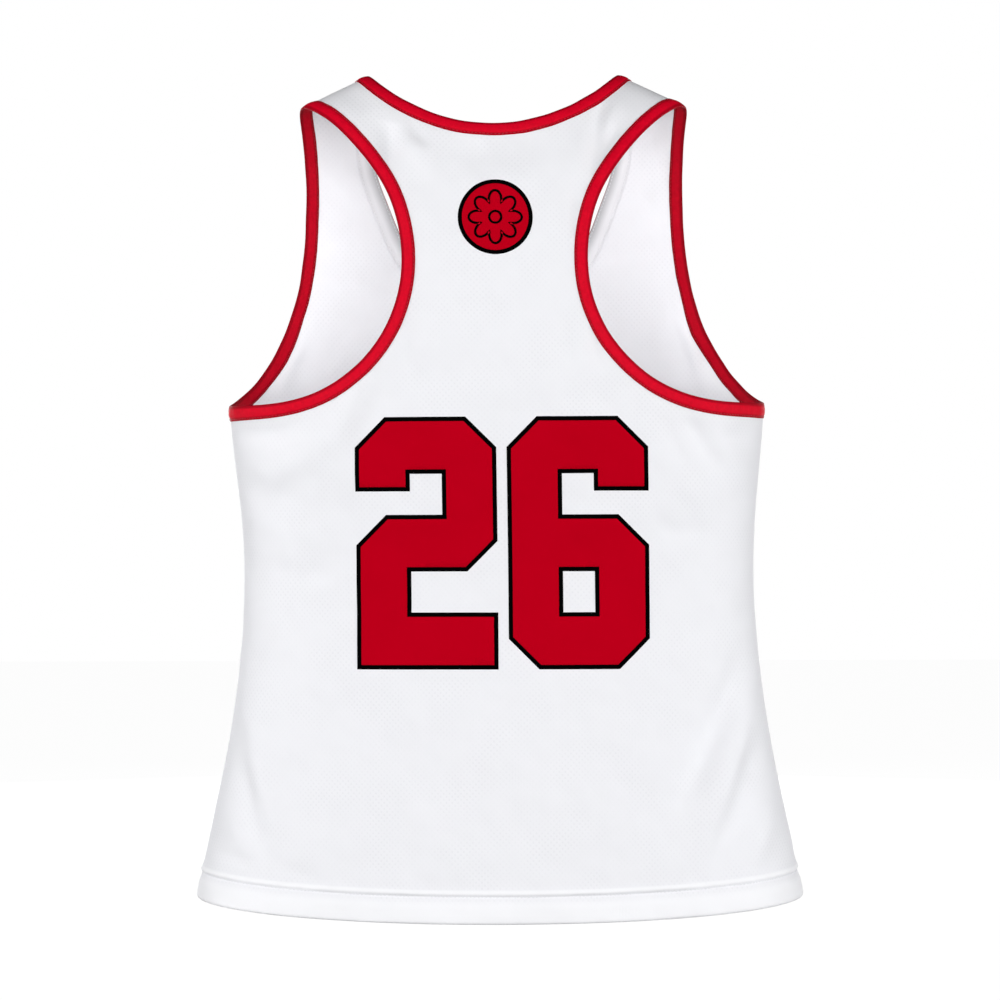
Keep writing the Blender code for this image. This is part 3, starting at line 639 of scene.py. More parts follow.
def clothPlace(turn, fall, facing):
    # where each point lay in the flat cloth: across is the length round the form from the
    # centre line, and up is the length of the centre line to the same height
    across = np.zeros(turn.shape)
    before = None
    around, down = panels["mapSteps"]
    for step in np.linspace(0, 1, around):
        here = onForm(facing + (turn - facing) * step, fall)
        if before is not None:
            across += np.linalg.norm(here - before, axis=-1)
        before = here
    centre = onForm(np.full(down, facing), np.linspace(0, fall.max(), down))
    height = onForm(turn, fall)[..., 2]
    return np.stack([across, -np.interp(-height, -centre[:, 2], pathLength(centre))], -1)


def hemLift(above, across):
    # below the stitches the band's height times 1 less a bell, above them the ridge's times 1
    # less a bell times a wider one, less the groove's bell; the lower edge is rounded off by an
    # exponential, and the ridge puckers
    away = above - hem["stitchLine"]
    reach, top = hem["band"]
    lift = np.where(away < 0, top * (1 - bell(away, reach)), 0.0)
    rise, reach, top = hem["ridge"]
    lift += np.where(away > 0, top * (1 - bell(away, rise)) * bell(away, reach), 0.0)
    halfWidth, depth = hem["dip"]
    lift -= depth * bell(away, halfWidth)
    reach, inward = hem["roundEdge"]
    lift -= inward * np.exp(-above / reach)
    ripple = sum(top * np.sin(waves * across + start) for waves, start, top in hem["pucker"])
    middle, halfWidth = hem["puckerPlace"]
    return lift + ripple * bell(above - middle, halfWidth)


def hemPaleness(above):
    # 1 on the ridge and a share of 1 over the band, both with soft edges: where the hem's holes are shut and
    # its painted highlight lies
    middle, halfWidth, most = hem["paleRidge"]
    top, soft, share = hem["paleBand"]
    ridge = most * np.exp(-(((above - middle) / halfWidth) ** 4))
    return np.maximum(ridge, share / (1 + np.exp((above - top) / soft)))


def makePanel(side, material):
    # the half at +X and its mirror, sharing the centre line up to the neck, with the hem's
    # swells and its turned-up layer, and let in a little at the seams
    sizes = panels[side]
    steps = [(panels["back"][part], panels["front"][part]) for part in ("neck", "armhole")]
    neck = intoCloth(neckLoop(*steps[0]), panels["underBinding"])
    armhole = intoCloth(armholeLoop(*steps[1]), panels["underBinding"])
    neckRidge, armholeRidge = steps[0][0], steps[1][0]
    if side == "back":
        neck, armhole = neck[: neckRidge + 1], armhole[: armholeRidge + 1]
    else:
        neck = neck[neckRidge : neckRidge + sizes["neck"] + 1][::-1]
        armhole = np.vstack([armhole[armholeRidge:], armhole[:1]])[::-1]
    turn, fall, neckRow = halfPanel(side, neck, armhole)
    rows, columns = turn.shape
    facing = 0.0 if side == "back" else math.pi
    right = onForm(turn, fall).reshape(-1, 3)
    uv = clothPlace(turn, fall, facing).reshape(-1, 2)
    above = np.minimum(right[:, 2] - hemHeight(turn).ravel(), hem["top"])
    right[:, 1] += panels["sideGap"] * (-1 if side == "back" else 1)
    seam = bell(right[:, 1], panels["seamDipWidth"])
    points = np.vstack([right, right * (-1, 1, 1)])
    uv = np.vstack([uv, uv * (-1, 1)])
    half = rows * columns
    faces = gridFaces(rows, columns)
    onCentre = (np.arange(half) % columns == 0) & (np.arange(half) < (neckRow + 1) * columns)
    other = np.where(onCentre, np.arange(half), np.arange(half) + half)
    faces = np.vstack([faces, other[faces][:, ::-1]])
    used, place = np.unique(faces, return_inverse=True)
    faces = place.reshape(-1, 4)
    both = np.r_[np.arange(half), np.arange(half)][used]
    above, seam = above[both], seam[both]
    lift = hemLift(above, uv[used][:, 0]) - panels["seamDip"] * seam
    turned = 1 / (1 + np.exp((above - hem["depth"]) / hem["foldSoft"]))
    thick = panels["cloth"] + hem["fold"] * turned
    piece = clothWall(
        side + "Panel", points[used], faces, lift, lift - thick, material, uv[used], panels["edgeRound"]
    )
    # pale: where the hem's holes are shut and its painted highlight lies
    addLayer(piece, "pale", np.tile(hemPaleness(above), 2))
    size = tuple(np.ptp(uv[used], axis=0))
    return piece, size, min(float(quadAreas(points[used], faces).sum()), size[0] * size[1])


def quadAreas(points, faces):
    # half the cross product of the two diagonals
    a, b, c, d = (points[faces[:, k]] for k in range(4))
    return np.linalg.norm(np.cross(c - a, d - b), axis=1) / 2


# ---- bindings: a strip folded over the cloth's edge

binding = {
    "width": 0.0108,
    "wider": 0.14,  # at the underarm it is pulled this share wider
    "widerReach": 0.06,
    "cut": 0.0235,  # the strip opened flat
    "underarmBelow": -0.2,  # a loop that comes lower than this at its widest is an armhole's
    "proud": 0.0004,  # how far the fold stands past the cloth's finished edge
    "middle": -0.00045,  # middle of the fold, under the form's surface
    "halfThick": 0.00105,
    "leaf": 0.00050,
    "crown": 0.00075,  # how far the outer leaf bulges, and the inner one
    "innerCrown": 0.00030,
    "crownShape": 0.8,  # under 1, the bulge is flatter on top
    "foldEnd": 0.002,  # puckers start this far from the edge
    "stitchLine": 0.0091,
    "stitchDip": (0.0007, 0.00040),  # half width and depth of the groove along the stitches
    "stitches": {"Outer": 0.00078, "Inner": -0.00168},  # height of each row
    "leafPoints": 15,
    "bowPoints": 9,
    "slotPoints": 5,
    "walkSteps": 12,
    "neckSteps": (64, 104),  # on the back and on the front
    "armholeSteps": (170, 130),
    "pucker": [(640.0, 0.7, 0.00007), (410.0, 3.1, 0.00008), (233.0, 1.2, 0.00008)],
}


def bindingSection():
    # a closed outline of (place across from the finished edge, height): the outer leaf crowned
    # as sin, a round fold, the inner leaf, and back round the slot that holds the cloth
    width, radius, leaf = binding["width"], binding["halfThick"], binding["leaf"]
    halfWidth, depth = binding["stitchDip"]

    def leafHeight(across, crown):
        share = np.clip((across - radius) / (width - radius), 0, 1)
        arch = crown * np.sin(math.pi * share) ** binding["crownShape"]
        return radius + arch - depth * bell(across - binding["stitchLine"], halfWidth)

    out = np.linspace(width, radius, binding["leafPoints"])[:-1]
    bow = np.linspace(math.pi / 2, -math.pi / 2, binding["bowPoints"])
    back = out[::-1]
    slot = np.linspace(width, radius + leaf, binding["slotPoints"])
    slotBow = np.linspace(-math.pi / 2, math.pi / 2, binding["slotPoints"])[1:-1]
    inside = radius - leaf
    across = np.r_[
        out, radius - radius * np.cos(bow), back, slot, radius - inside * np.cos(slotBow), slot[::-1]
    ]
    height = np.r_[
        leafHeight(out, binding["crown"]), radius * np.sin(bow), -leafHeight(back, binding["innerCrown"]),
        np.full(len(slot), -inside), inside * np.sin(slotBow), np.full(len(slot), inside),
    ]
    return across, height + binding["middle"]


def pulled(loop):
    # 1 plus wider times a bell of the distance from the underarm, and 1 all round the neck
    widest = loop[np.abs(loop[:, 0]).argmax()]
    near = bell(np.linalg.norm(loop - widest, axis=1), binding["widerReach"])
    return 1 + binding["wider"] * near * (widest[2] < binding["underarmBelow"])


def makeBinding(name, loop, material):
    # the section carried round the loop, each point above the place that lies across from it
    across, height = bindingSection()
    lanes = np.linspace(0, binding["width"], binding["walkSteps"]) - binding["proud"]
    walk = np.stack([intoCloth(loop, lane * pulled(loop)) for lane in lanes])
    cell = np.clip(across / (lanes[1] - lanes[0]), 0, len(lanes) - 1.001)
    low, part = cell.astype(int), (cell % 1)[:, None, None]
    ground = walk[low] * (1 - part) + walk[low + 1] * part
    count = len(loop)
    ground = settled(ground.transpose(1, 0, 2).reshape(-1, 3))
    length = pathLength(loop)
    ripple = sum(top * np.sin(waves * length + start) for waves, start, top in binding["pucker"])
    outward = np.sign(height - binding["middle"]) * (across > binding["foldEnd"])
    lift = height[None] + ripple[:, None] * outward[None]
    around = np.r_[0, np.cumsum(np.hypot(np.diff(across), np.diff(height)))]
    uv = np.stack(np.broadcast_arrays(length[:, None], around[None]), -1).reshape(-1, 2)
    points = placed(ground, facingOut(ground), lift.ravel())
    faces = gridFaces(count, len(across), True, True)
    outside = points - points[: len(across)].mean(0)
    piece = makeMesh(name, points, [facedOut(points, faces, outside)], material, uv)
    # these two layers carry the binding's painted shade along its edges and on its inner leaf
    addLayer(piece, "across", np.tile(np.clip(across / binding["width"], 0, 1), count))
    addLayer(piece, "inside", np.tile(height < binding["middle"], count))
    return piece


# ---- rows of stitches

stitch = {
    "pitch": 0.0030,
    "length": 0.0024,
    "radius": 0.00024,
    "sink": 0.00022,
    "least": 0.10,  # square of its ends' share of the radius
    "probe": 0.0006,  # half the length of path that gives a stitch its direction
    "rings": 5,
    "sides": 5,
}


def makeStitches(name, path, facing, material, closed=True):
    # one short rounded bar for each pitch of the path: along it, t from -1 to 1, a circle of
    # radius r sqrt(1 - t^4), its ends sunk into the cloth by t^2
    rings, sides = stitch["rings"], stitch["sides"]
    if closed:
        path, facing = np.vstack([path, path[:1]]), np.vstack([facing, facing[:1]])
    length = pathLength(path)
    count = int(length[-1] / stitch["pitch"])
    at = (np.arange(count) + 0.5) * length[-1] / count
    centre, normal = readPath(path, length, at), unit(readPath(facing, length, at))
    ahead, behind = (readPath(path, length, at + step) for step in (stitch["probe"], -stitch["probe"]))
    forward = unit(ahead - behind)
    side = np.cross(normal, forward)
    t = np.linspace(-1, 1, rings)[:, None]
    angle = np.linspace(0, 2 * math.pi, sides + 1)[:-1]
    size = stitch["radius"] * np.sqrt(np.clip(1 - t**4, stitch["least"], 1))
    sideways = (size * np.cos(angle))[None, ..., None]
    upwards = (size * np.sin(angle) - stitch["sink"] * t**2)[None, ..., None]
    lengthways = (t * stitch["length"] / 2)[None, ..., None]
    centre, forward, side, normal = (part[:, None, None] for part in (centre, forward, side, normal))
    points = centre + forward * lengthways + side * sideways + normal * upwards
    points = points.reshape(-1, 3)
    tube = gridFaces(rings, sides, False, True)
    caps = np.stack([np.arange(sides)[::-1], np.arange(sides) + (rings - 1) * sides])
    base = (np.arange(count) * rings * sides)[:, None, None]
    faces = [(tube[None] + base).reshape(-1, 4), (caps[None] + base).reshape(-1, sides)]
    return makeMesh(name, points, faces, material, sharp=False)


# ---- flat shapes pressed on the back

numerals = {
    "width": 0.1097,
    "height": 0.1958,
    "strokeAcross": 0.0425,
    "strokeUp": 0.0441,
    "chamfer": 0.0236,
    "hook": 0.0136,  # how far the stroke's end hangs down
    "spacing": 0.0080,
    "outline": 0.0034,
    "middle": 0.0032,
    "base": -0.4570,  # height of the figures' feet
    "under": (-0.00010, 0.00035),  # the black layer's two faces, out from the cloth
    "top": (0.00030, 0.00065),
    "pitch": 0.0036,
    "softEdge": 0.00022,
}
patch = {
    "clear": 0.45,  # share of the pitch that the inner points keep from the outline
    "merge": 1e-7,
    "onRim": 1e-6,
    "parts": 8,  # the points are measured in so many lots
}


def blockLines():
    # the lengths that both figures are drawn from, with the space between two strokes
    sizes = ("width", "height", "strokeAcross", "strokeUp", "chamfer", "hook")
    width, height, across, up, chamfer, hook = (numerals[size] for size in sizes)
    space, right, inner, top = (height - 3 * up) / 2, width - across, width - chamfer, height - up
    return width, height, across, up, chamfer, hook, space, right, inner, top


def twoOutline():
    # the figure 2 on a chamfered block, anticlockwise from its lower left corner
    width, height, across, up, chamfer, hook, space, right, inner, top = blockLines()
    return [
        (0, 0), (width, 0), (width, up), (across, up), (across, up + space),
        (inner, up + space), (width, up + space + chamfer), (width, height - chamfer),
        (inner, height), (chamfer, height), (0, height - chamfer), (0, top - hook),
        (across, top - hook), (across, top), (right, top), (right, top - space),
        (chamfer, top - space), (0, top - space - chamfer),
    ]


def sixOutline():
    # the figure 6 on the same block
    width, height, across, up, chamfer, hook, space, right, inner, top = blockLines()
    return [
        (0, chamfer), (chamfer, 0), (inner, 0), (width, chamfer),
        (width, top - space - chamfer), (inner, top - space), (across, top - space),
        (across, top), (right, top), (right, top - hook), (width, top - hook),
        (width, height - chamfer), (inner, height), (chamfer, height), (0, height - chamfer),
    ]


def sixHole():
    # the square hole of the 6, clockwise
    _, _, across, up, _, _, space, right, _, _ = blockLines()
    return [(across, up), (across, up + space), (right, up + space), (right, up)]


def inset(outline, distance):
    # each corner moved along the sum of its two sides' left normals over 1 plus their product
    corners = np.array(outline, float)
    before = unit(corners - np.roll(corners, 1, axis=0))
    after = unit(np.roll(corners, -1, axis=0) - corners)
    left = [np.stack([-d[:, 1], d[:, 0]], 1) for d in (before, after)]
    return corners + (left[0] + left[1]) * distance / (1 + (left[0] * left[1]).sum(1))[:, None]


def divided(outline, pitch):
    # each side cut into equal parts no longer than pitch
    parts = []
    for a, b in zip(outline, np.roll(outline, -1, axis=0)):
        count = max(1, math.ceil(np.linalg.norm(b - a) / pitch))
        parts.append(a + (b - a) * (np.arange(count) / count)[:, None])
    return np.vstack(parts)


def insideOf(points, outlines):
    # odd number of crossings of a ray towards +x
    crossings = np.zeros(len(points), int)
    for outline in outlines:
        a, b = np.asarray(outline, float), np.roll(outline, -1, axis=0)
        spans = (a[:, 1] > points[:, 1:]) != (b[:, 1] > points[:, 1:])
        rise = np.where(b[:, 1] == a[:, 1], 1.0, b[:, 1] - a[:, 1])
        meets = a[:, 0] + (points[:, 1:] - a[:, 1]) * (b[:, 0] - a[:, 0]) / rise
        crossings += (spans & (points[:, :1] < meets)).sum(1)
    return crossings % 2 == 1


def nearest(spots, others):
    # the distance from each spot to the nearest of the others
    lots = np.array_split(spots, patch["parts"])
    away = [np.linalg.norm(lot[:, None] - others[None], axis=2).min(1) for lot in lots if len(lot)]
    return np.concatenate(away)


def makePatch(name, outlines, corner, layer, material, pitch, softEdge):
    # a flat shape filled with triangles between its outline, an inset line and an even field of
    # points, laid on the back and given two faces, with the rim lower than the middle
    outer = [divided(np.array(outline, float), pitch) for outline in outlines]
    inner = [divided(inset(outline, softEdge), pitch) for outline in outlines]
    low, high = outer[0].min(0), outer[0].max(0)
    lines = [np.arange(low[k] + pitch / 2, high[k], pitch) for k in (0, 1)]
    field = np.stack(np.meshgrid(*lines), -1).reshape(-1, 2)
    field = field[insideOf(field, inner)]
    field = field[nearest(field, np.vstack(inner)) > pitch * patch["clear"]]
    sides, start = [], 0
    for ring in outer + inner:
        count = np.arange(len(ring))
        pairs = np.stack([start + count, start + (count + 1) % len(ring)], 1)
        sides += [tuple(pair) for pair in pairs.tolist()]
        start += len(ring)
    spots = np.vstack(outer + inner + [field])
    made = delaunay_2d_cdt([tuple(spot) for spot in spots.tolist()], sides, [], 0, patch["merge"])
    spots = np.array([tuple(spot) for spot in made[0]])
    triangles = np.array(made[2])
    triangles = triangles[insideOf(spots[triangles].mean(1), outlines)]
    used, place = np.unique(triangles, return_inverse=True)
    spots, triangles = spots[used], place.reshape(-1, 3)
    onRim = nearest(spots, np.vstack(outer)) < patch["onRim"]
    flat = spots + corner
    sheet = onSide("back", flat[:, 0], flat[:, 1])
    top = np.where(onRim, layer[1] - softEdge, layer[1])
    a, b, c = (spots[triangles[:, k]] for k in range(3))
    area = float(np.abs(np.cross(b - a, c - a)).sum() / 2)
    piece = clothWall(name, sheet, triangles, top, layer[0], material, flat)
    return piece, [float(side) for side in np.ptp(spots, axis=0)], area


# ---- badge below the neck

badge = {
    "radius": 0.0290,
    "outline": 0.0032,
    "centre": (0.0008, -0.1070),
    "sides": 96,
    "petals": 8,
    "petalInner": 0.0115,
    "petalOuter": 0.0205,
    "petalShape": 0.7,  # under 1, the petals are blunter
    "petalSides": 480,
    "eyeSides": 72,
    "line": 0.0019,  # width of the drawn lines
    "eye": 0.0046,
    "face": (0.00055, 0.00085),  # the lines' two faces, out from the cloth
    "pitch": 0.0024,
    "linePitch": 0.0016,
    "softEdge": 0.00012,
}


def ringOutlines(radiusOf, width, sides):
    # two closed lines half a width outside and inside the curve radiusOf(angle)
    angle = np.arange(sides) * 2 * math.pi / sides
    middle = radiusOf(angle)[:, None] * np.stack([np.cos(angle), np.sin(angle)], 1)
    forward = unit(np.roll(middle, -1, axis=0) - np.roll(middle, 1, axis=0))
    outward = np.stack([forward[:, 1], -forward[:, 0]], 1)
    return [middle + outward * width / 2, (middle - outward * width / 2)[::-1]]


# ---- materials


def newMaterial(name, look):
    # the numbers that are the same all over a surface go straight on its shader
    material = bpy.data.materials.new(name)
    material.use_nodes = True
    shader = material.node_tree.nodes["Principled BSDF"]
    weight, spread = look["sheen"]
    shader.inputs["Base Color"].default_value = (*look["colour"], 1)
    shader.inputs["Roughness"].default_value = look["roughness"]
    shader.inputs["Sheen Weight"].default_value = weight
    shader.inputs["Sheen Roughness"].default_value = spread
    shader.inputs["Specular IOR Level"].default_value = look["specular"]
    return material, material.node_tree, shader


def addNode(tree, kind, settings=None, **inputs):
    # a node with its settings, and each input a value or the socket that feeds it; i3 is the
    # fourth input, and any other name is the input's own with _ for a space
    node = tree.nodes.new(kind)
    for key, value in (settings or {}).items():
        setattr(node, key, value)
    for key, value in inputs.items():
        numbered = key[0] == "i" and key[1:].isdigit()
        socket = node.inputs[int(key[1:]) if numbered else key.replace("_", " ")]
        if isinstance(value, bpy.types.NodeSocket):
            tree.links.new(value, socket)
        else:
            socket.default_value = value
    return node


def mathNode(tree, operation, first, second=0.0):
    return addNode(tree, "ShaderNodeMath", {"operation": operation}, i0=first, i1=second).outputs[0]


def waveNode(tree, operation, place, waves):
    # sine or cosine of waves times the place
    return mathNode(tree, operation, mathNode(tree, "MULTIPLY", place, waves))


def rangeNode(tree, value, settings=None, **ends):
    return addNode(tree, "ShaderNodeMapRange", settings, Value=value, **ends).outputs[0]


def mixNode(tree, share, first, second):
    # the first colour where the share is 0, and the second where it is 1
    node = addNode(tree, "ShaderNodeMix", {"data_type": "RGBA"}, i0=share, i6=first, i7=second)
    return node.outputs[2]


def noiseNode(tree, place, scale, detail, roughness=0.5):
    kind = "ShaderNodeTexNoise"
    return addNode(tree, kind, i0=place, Scale=scale, Detail=detail, Roughness=roughness).outputs[0]


def shadeColour(tree, shader, colour, shade):
    # the colour times the shade
    node = addNode(tree, "ShaderNodeVectorMath", {"operation": "SCALE"}, i0=colour, Scale=shade)
    tree.links.new(node.outputs[0], shader.inputs["Base Color"])


def raiseSurface(tree, shader, height, strength):
    node = addNode(tree, "ShaderNodeBump", Strength=strength, Distance=1.0, Height=height)
    tree.links.new(node.outputs[0], shader.inputs["Normal"])


def readLayer(tree, name):
    return addNode(tree, "ShaderNodeAttribute", {"attribute_name": name}).outputs["Fac"]


def clothCoordinates(tree):
    place = addNode(tree, "ShaderNodeUVMap", {"uv_map": "cloth"}).outputs[0]
    across, up, _ = addNode(tree, "ShaderNodeSeparateXYZ", i0=place).outputs
    return place, across, up


softly = {"interpolation_type": "SMOOTHSTEP"}
meshJersey = {
    "colour": (0.890, 0.893, 0.925),
    "roughness": 0.80,
    "sheen": (0.06, 0.45),  # weight and roughness
    "specular": 0.15,
    "tint": (55.0, 3.0, 0.6),  # soft patches: scale, detail and roughness of their noise
    "tintColour": (0.86775, 0.870675, 0.901875),
    "holeColour": (0.835, 0.838, 0.872),
    "paleAndHighlightColour": (0.975, 0.978, 1.000),  # at the hem, where the holes are shut: painted highlight on the ridge, and on the band partly the doubled cloth's whiteness
    "waves": 1335.0,  # holes lie where cos(waves u) cos(waves v) is near 1, on a slanted grid
    "holeEdge": (0.20, 1.00),
    "holeDepth": 0.00012,
    "openness": (0.40, 0.62, 0.25, 1.0),  # noise from, to, and the share of the holes that shows there
    "opennessNoise": (26.0, 2.0),
    "ribWaves": 5200.0,
    "ribHeight": 0.00002,
    "bump": 0.6,
}


def meshHoles(tree, across, up, edge):
    # 1 at the middle of each hole, falling softly to 0 where the product of cosines is the edge's
    first = waveNode(tree, "COSINE", across, meshJersey["waves"])
    second = waveNode(tree, "COSINE", up, meshJersey["waves"])
    dots = mathNode(tree, "MULTIPLY", first, second)
    return rangeNode(tree, dots, softly, From_Min=edge[0], From_Max=edge[1])


def jerseyMaterial():
    # white cloth in faint patches, its holes darker, here and there drawn shut, and fine ribs; paler at the
    # hem, a painted highlight on the ridge and on the band partly the doubled cloth's own whiteness
    look = meshJersey
    material, tree, shader = newMaterial("whiteMeshJersey", look)
    place, across, up = clothCoordinates(tree)
    hole = meshHoles(tree, across, up, look["holeEdge"])
    patches = noiseNode(tree, place, *look["tint"])
    colour = mixNode(tree, patches, (*look["tintColour"], 1), (*look["colour"], 1))
    low, high, least, most = look["openness"]
    drawn = noiseNode(tree, place, *look["opennessNoise"])
    drawn = rangeNode(tree, drawn, From_Min=low, From_Max=high, To_Min=least, To_Max=most)
    hole = mathNode(tree, "MULTIPLY", hole, drawn)
    pale = readLayer(tree, "pale")
    hole = mathNode(tree, "MULTIPLY", hole, mathNode(tree, "SUBTRACT", 1.0, pale))
    colour = mixNode(tree, hole, colour, (*look["holeColour"], 1))
    # the hem made paler: painted highlight on the ridge, and on the band partly the doubled cloth's whiteness
    colour = mixNode(tree, pale, colour, (*look["paleAndHighlightColour"], 1))
    tree.links.new(colour, shader.inputs["Base Color"])
    rib = waveNode(tree, "SINE", across, look["ribWaves"])
    rib = mathNode(tree, "MULTIPLY", rib, look["ribHeight"])
    height = mathNode(tree, "MULTIPLY", hole, -look["holeDepth"])
    height = mathNode(tree, "ADD", height, rib)
    raiseSurface(tree, shader, height, look["bump"])
    return material


bindingCloth = {
    "colour": (0.715, 0.001, 0.019),
    # the darker red is painted shade along both edges of the strip
    "edgeShadeColour": (0.390, 0.000, 0.010),
    "edgeShadeStops": (0.13, 0.88),  # shares of the width up to which and from which the painted edge shade holds
    "middleStops": (0.27, 0.74),
    "roughness": 0.60,
    "sheen": (0.0, 0.5),
    "specular": 0.04,
    "inside": 0.66,  # painted shade: the inner leaf is this much as bright
    "noise": (260.0, 3.0, 0.65),
    "noiseRange": (0.3, 0.7, 0.88, 1.06),  # noise from, to, and the brightness it gives
    "ribWaves": 4200.0,
    "ribHeight": 0.00003,
    "bump": 0.5,
}


def bindingMaterial():
    # red knit with ribs across it, with painted shade along both edges of the strip and on its inner leaf
    look = bindingCloth
    material, tree, shader = newMaterial("redBinding", look)
    place, along, _ = clothCoordinates(tree)
    # the ramp paints shade along both edges of the strip
    ramp = addNode(tree, "ShaderNodeValToRGB", i0=readLayer(tree, "across"))
    stops = ramp.color_ramp.elements
    stops[0].color = stops[1].color = (*look["edgeShadeColour"], 1)
    for colour, positions in ((look["edgeShadeColour"], look["edgeShadeStops"]), (look["colour"], look["middleStops"])):
        for position in positions:
            stops.new(position).color = (*colour, 1)
    low, high, least, most = look["noiseRange"]
    shade = noiseNode(tree, place, *look["noise"])
    shade = rangeNode(tree, shade, From_Min=low, From_Max=high, To_Min=least, To_Max=most)
    # painted shade on the inner leaf
    inside = rangeNode(tree, readLayer(tree, "inside"), To_Min=1.0, To_Max=look["inside"])
    shade = mathNode(tree, "MULTIPLY", shade, inside)
    shadeColour(tree, shader, ramp.outputs[0], shade)
    rib = waveNode(tree, "SINE", along, look["ribWaves"])
    height = mathNode(tree, "MULTIPLY", rib, look["ribHeight"])
    raiseSurface(tree, shader, height, look["bump"])
    return material


pressedFilm = {
    "sheen": (0.0, 0.5),
    "specular": 0.0,
    "noise": (22.0, 2.0, 0.5),
    "dimpleEdge": (0.5, 0.95),
    "dimpleDepth": 0.00006,
    "bump": 0.5,
    "red": {"colour": (0.517, 0.0, 0.0115), "dark": (0.478, 0.0, 0.0090), "roughness": 0.62},
    "black": {"colour": (0.0016, 0.0014, 0.0016), "dark": (0.0008, 0.0008, 0.0008), "roughness": 0.60},
}


def filmMaterial(name):
    # a pressed-on film: the holes of the cloth under it show as faint dimples
    look = {**pressedFilm, **pressedFilm[name]}
    material, tree, shader = newMaterial(name + "Film", look)
    place, across, up = clothCoordinates(tree)
    hole = meshHoles(tree, across, up, look["dimpleEdge"])
    patches = noiseNode(tree, place, *look["noise"])
    colour = mixNode(tree, patches, (*look["dark"], 1), (*look["colour"], 1))
    tree.links.new(colour, shader.inputs["Base Color"])
    height = mathNode(tree, "MULTIPLY", hole, -look["dimpleDepth"])
    raiseSurface(tree, shader, height, look["bump"])
    return material


thread = {
    "white": (0.80, 0.80, 0.83),
    "red": (0.42, 0.002, 0.012),
    "roughness": 0.5,
    "sheen": (0.1, 0.4),
    "specular": 0.4,
    "twist": 900.0,
    "unevenness": 1.0,
    "shade": (0.82, 1.05),
}


def threadMaterial(name):
    # twisted thread: fine slanted bands on the object's own coordinates
    look = {**thread, "colour": thread[name]}
    material, tree, shader = newMaterial(name + "Thread", look)
    place = addNode(tree, "ShaderNodeTexCoord").outputs["Object"]
    twist = addNode(
        tree, "ShaderNodeTexWave", {"bands_direction": "DIAGONAL"},
        i0=place, Scale=look["twist"], Distortion=look["unevenness"],
    )
    least, most = look["shade"]
    shade = rangeNode(tree, twist.outputs[1], To_Min=least, To_Max=most)
    shadeColour(tree, shader, look["colour"], shade)
    return material


tapeCloth = {
    "colour": (0.89, 0.89, 0.92),
    "roughness": 0.75,
    "sheen": (0.1, 0.5),
    "specular": 0.15,
    "waves": 6200.0,
    "weaveHeight": 0.00003,
    "shade": (0.90, 1.02),
    "roll": (0.55, 0.0100),  # painted shade towards the neck edge: its share of brightness at the edge, and where it is full
    "bump": 0.5,
}


def tapeMaterial():
    # woven tape: a fine weave in two directions on the tape's own map, with painted shade towards the neck
    # edge
    look = tapeCloth
    material, tree, shader = newMaterial("whiteNeckTape", look)
    _, along, across = clothCoordinates(tree)
    first = waveNode(tree, "SINE", along, look["waves"])
    second = waveNode(tree, "SINE", across, look["waves"])
    weave = mathNode(tree, "MULTIPLY", first, second)
    least, most = look["shade"]
    shade = rangeNode(tree, weave, From_Min=-1.0, To_Min=least, To_Max=most)
    # painted shade: darker towards the neck edge
    least, reach = look["roll"]
    roll = rangeNode(tree, across, softly, From_Max=reach, To_Min=least)
    shadeColour(tree, shader, look["colour"], mathNode(tree, "MULTIPLY", shade, roll))
    height = mathNode(tree, "MULTIPLY", weave, look["weaveHeight"])
    raiseSurface(tree, shader, height, look["bump"])
    return material


jersey = jerseyMaterial()
redCloth = bindingMaterial()
redFilm, blackFilm = filmMaterial("red"), filmMaterial("black")
whiteTape = tapeMaterial()
whiteThread, redThread = threadMaterial("white"), threadMaterial("red")
print("materials made")

# ---- the panels with their hems

for side in ("back", "front"):
    piece, size, area = makePanel(side, jersey)
    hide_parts(side + "_panel")
    print(side, "panel", [round(part, 3) for part in size], round(area, 4), "m2")

# ---- the bindings

neck = neckLoop(*binding["neckSteps"])
armhole = armholeLoop(*binding["armholeSteps"])
loops = (
    ("neckBinding", "neck_binding", neck),
    ("rightArmholeBinding", "right_armhole_binding", armhole),
    ("leftArmholeBinding", "left_armhole_binding", armhole[::-1] * (-1, 1, 1)),
)
for name, node, loop in loops:
    piece = makeBinding(name, loop, redCloth)
    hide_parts(node)
    lane = intoCloth(loop, binding["stitchLine"] * pulled(loop))
    facing = facingOut(lane)
    for face, lift in binding["stitches"].items():
        path = placed(lane, facing, lift)
        row = makeStitches(name + face + "Stitches", path, facing * np.sign(lift), redThread)
    print(name)

# ---- tape inside the front neck

tape = {
    "from": 0.0001,
    "to": 0.0130,
    "lanes": 15,
    "over": -0.00172,  # its inner face where it covers the binding
    "down": -0.00098,  # and at its lower edge, on the mesh
    "step": (0.0106, 0.0005),  # where it comes down, and how softly
    "thick": 0.0004,
    "edgeRound": 0.00015,
    "stitchLines": (0.0016, 0.0119),
    "stitchLift": 0.00008,
    "measured": 4,  # the lane whose length is the tape's
    "cut": 0.0134,
}


def tapeLift(distance):
    # the two levels joined by an S curve
    middle, soft = tape["step"]
    return tape["over"] + (tape["down"] - tape["over"]) / (1 + np.exp((middle - distance) / soft))


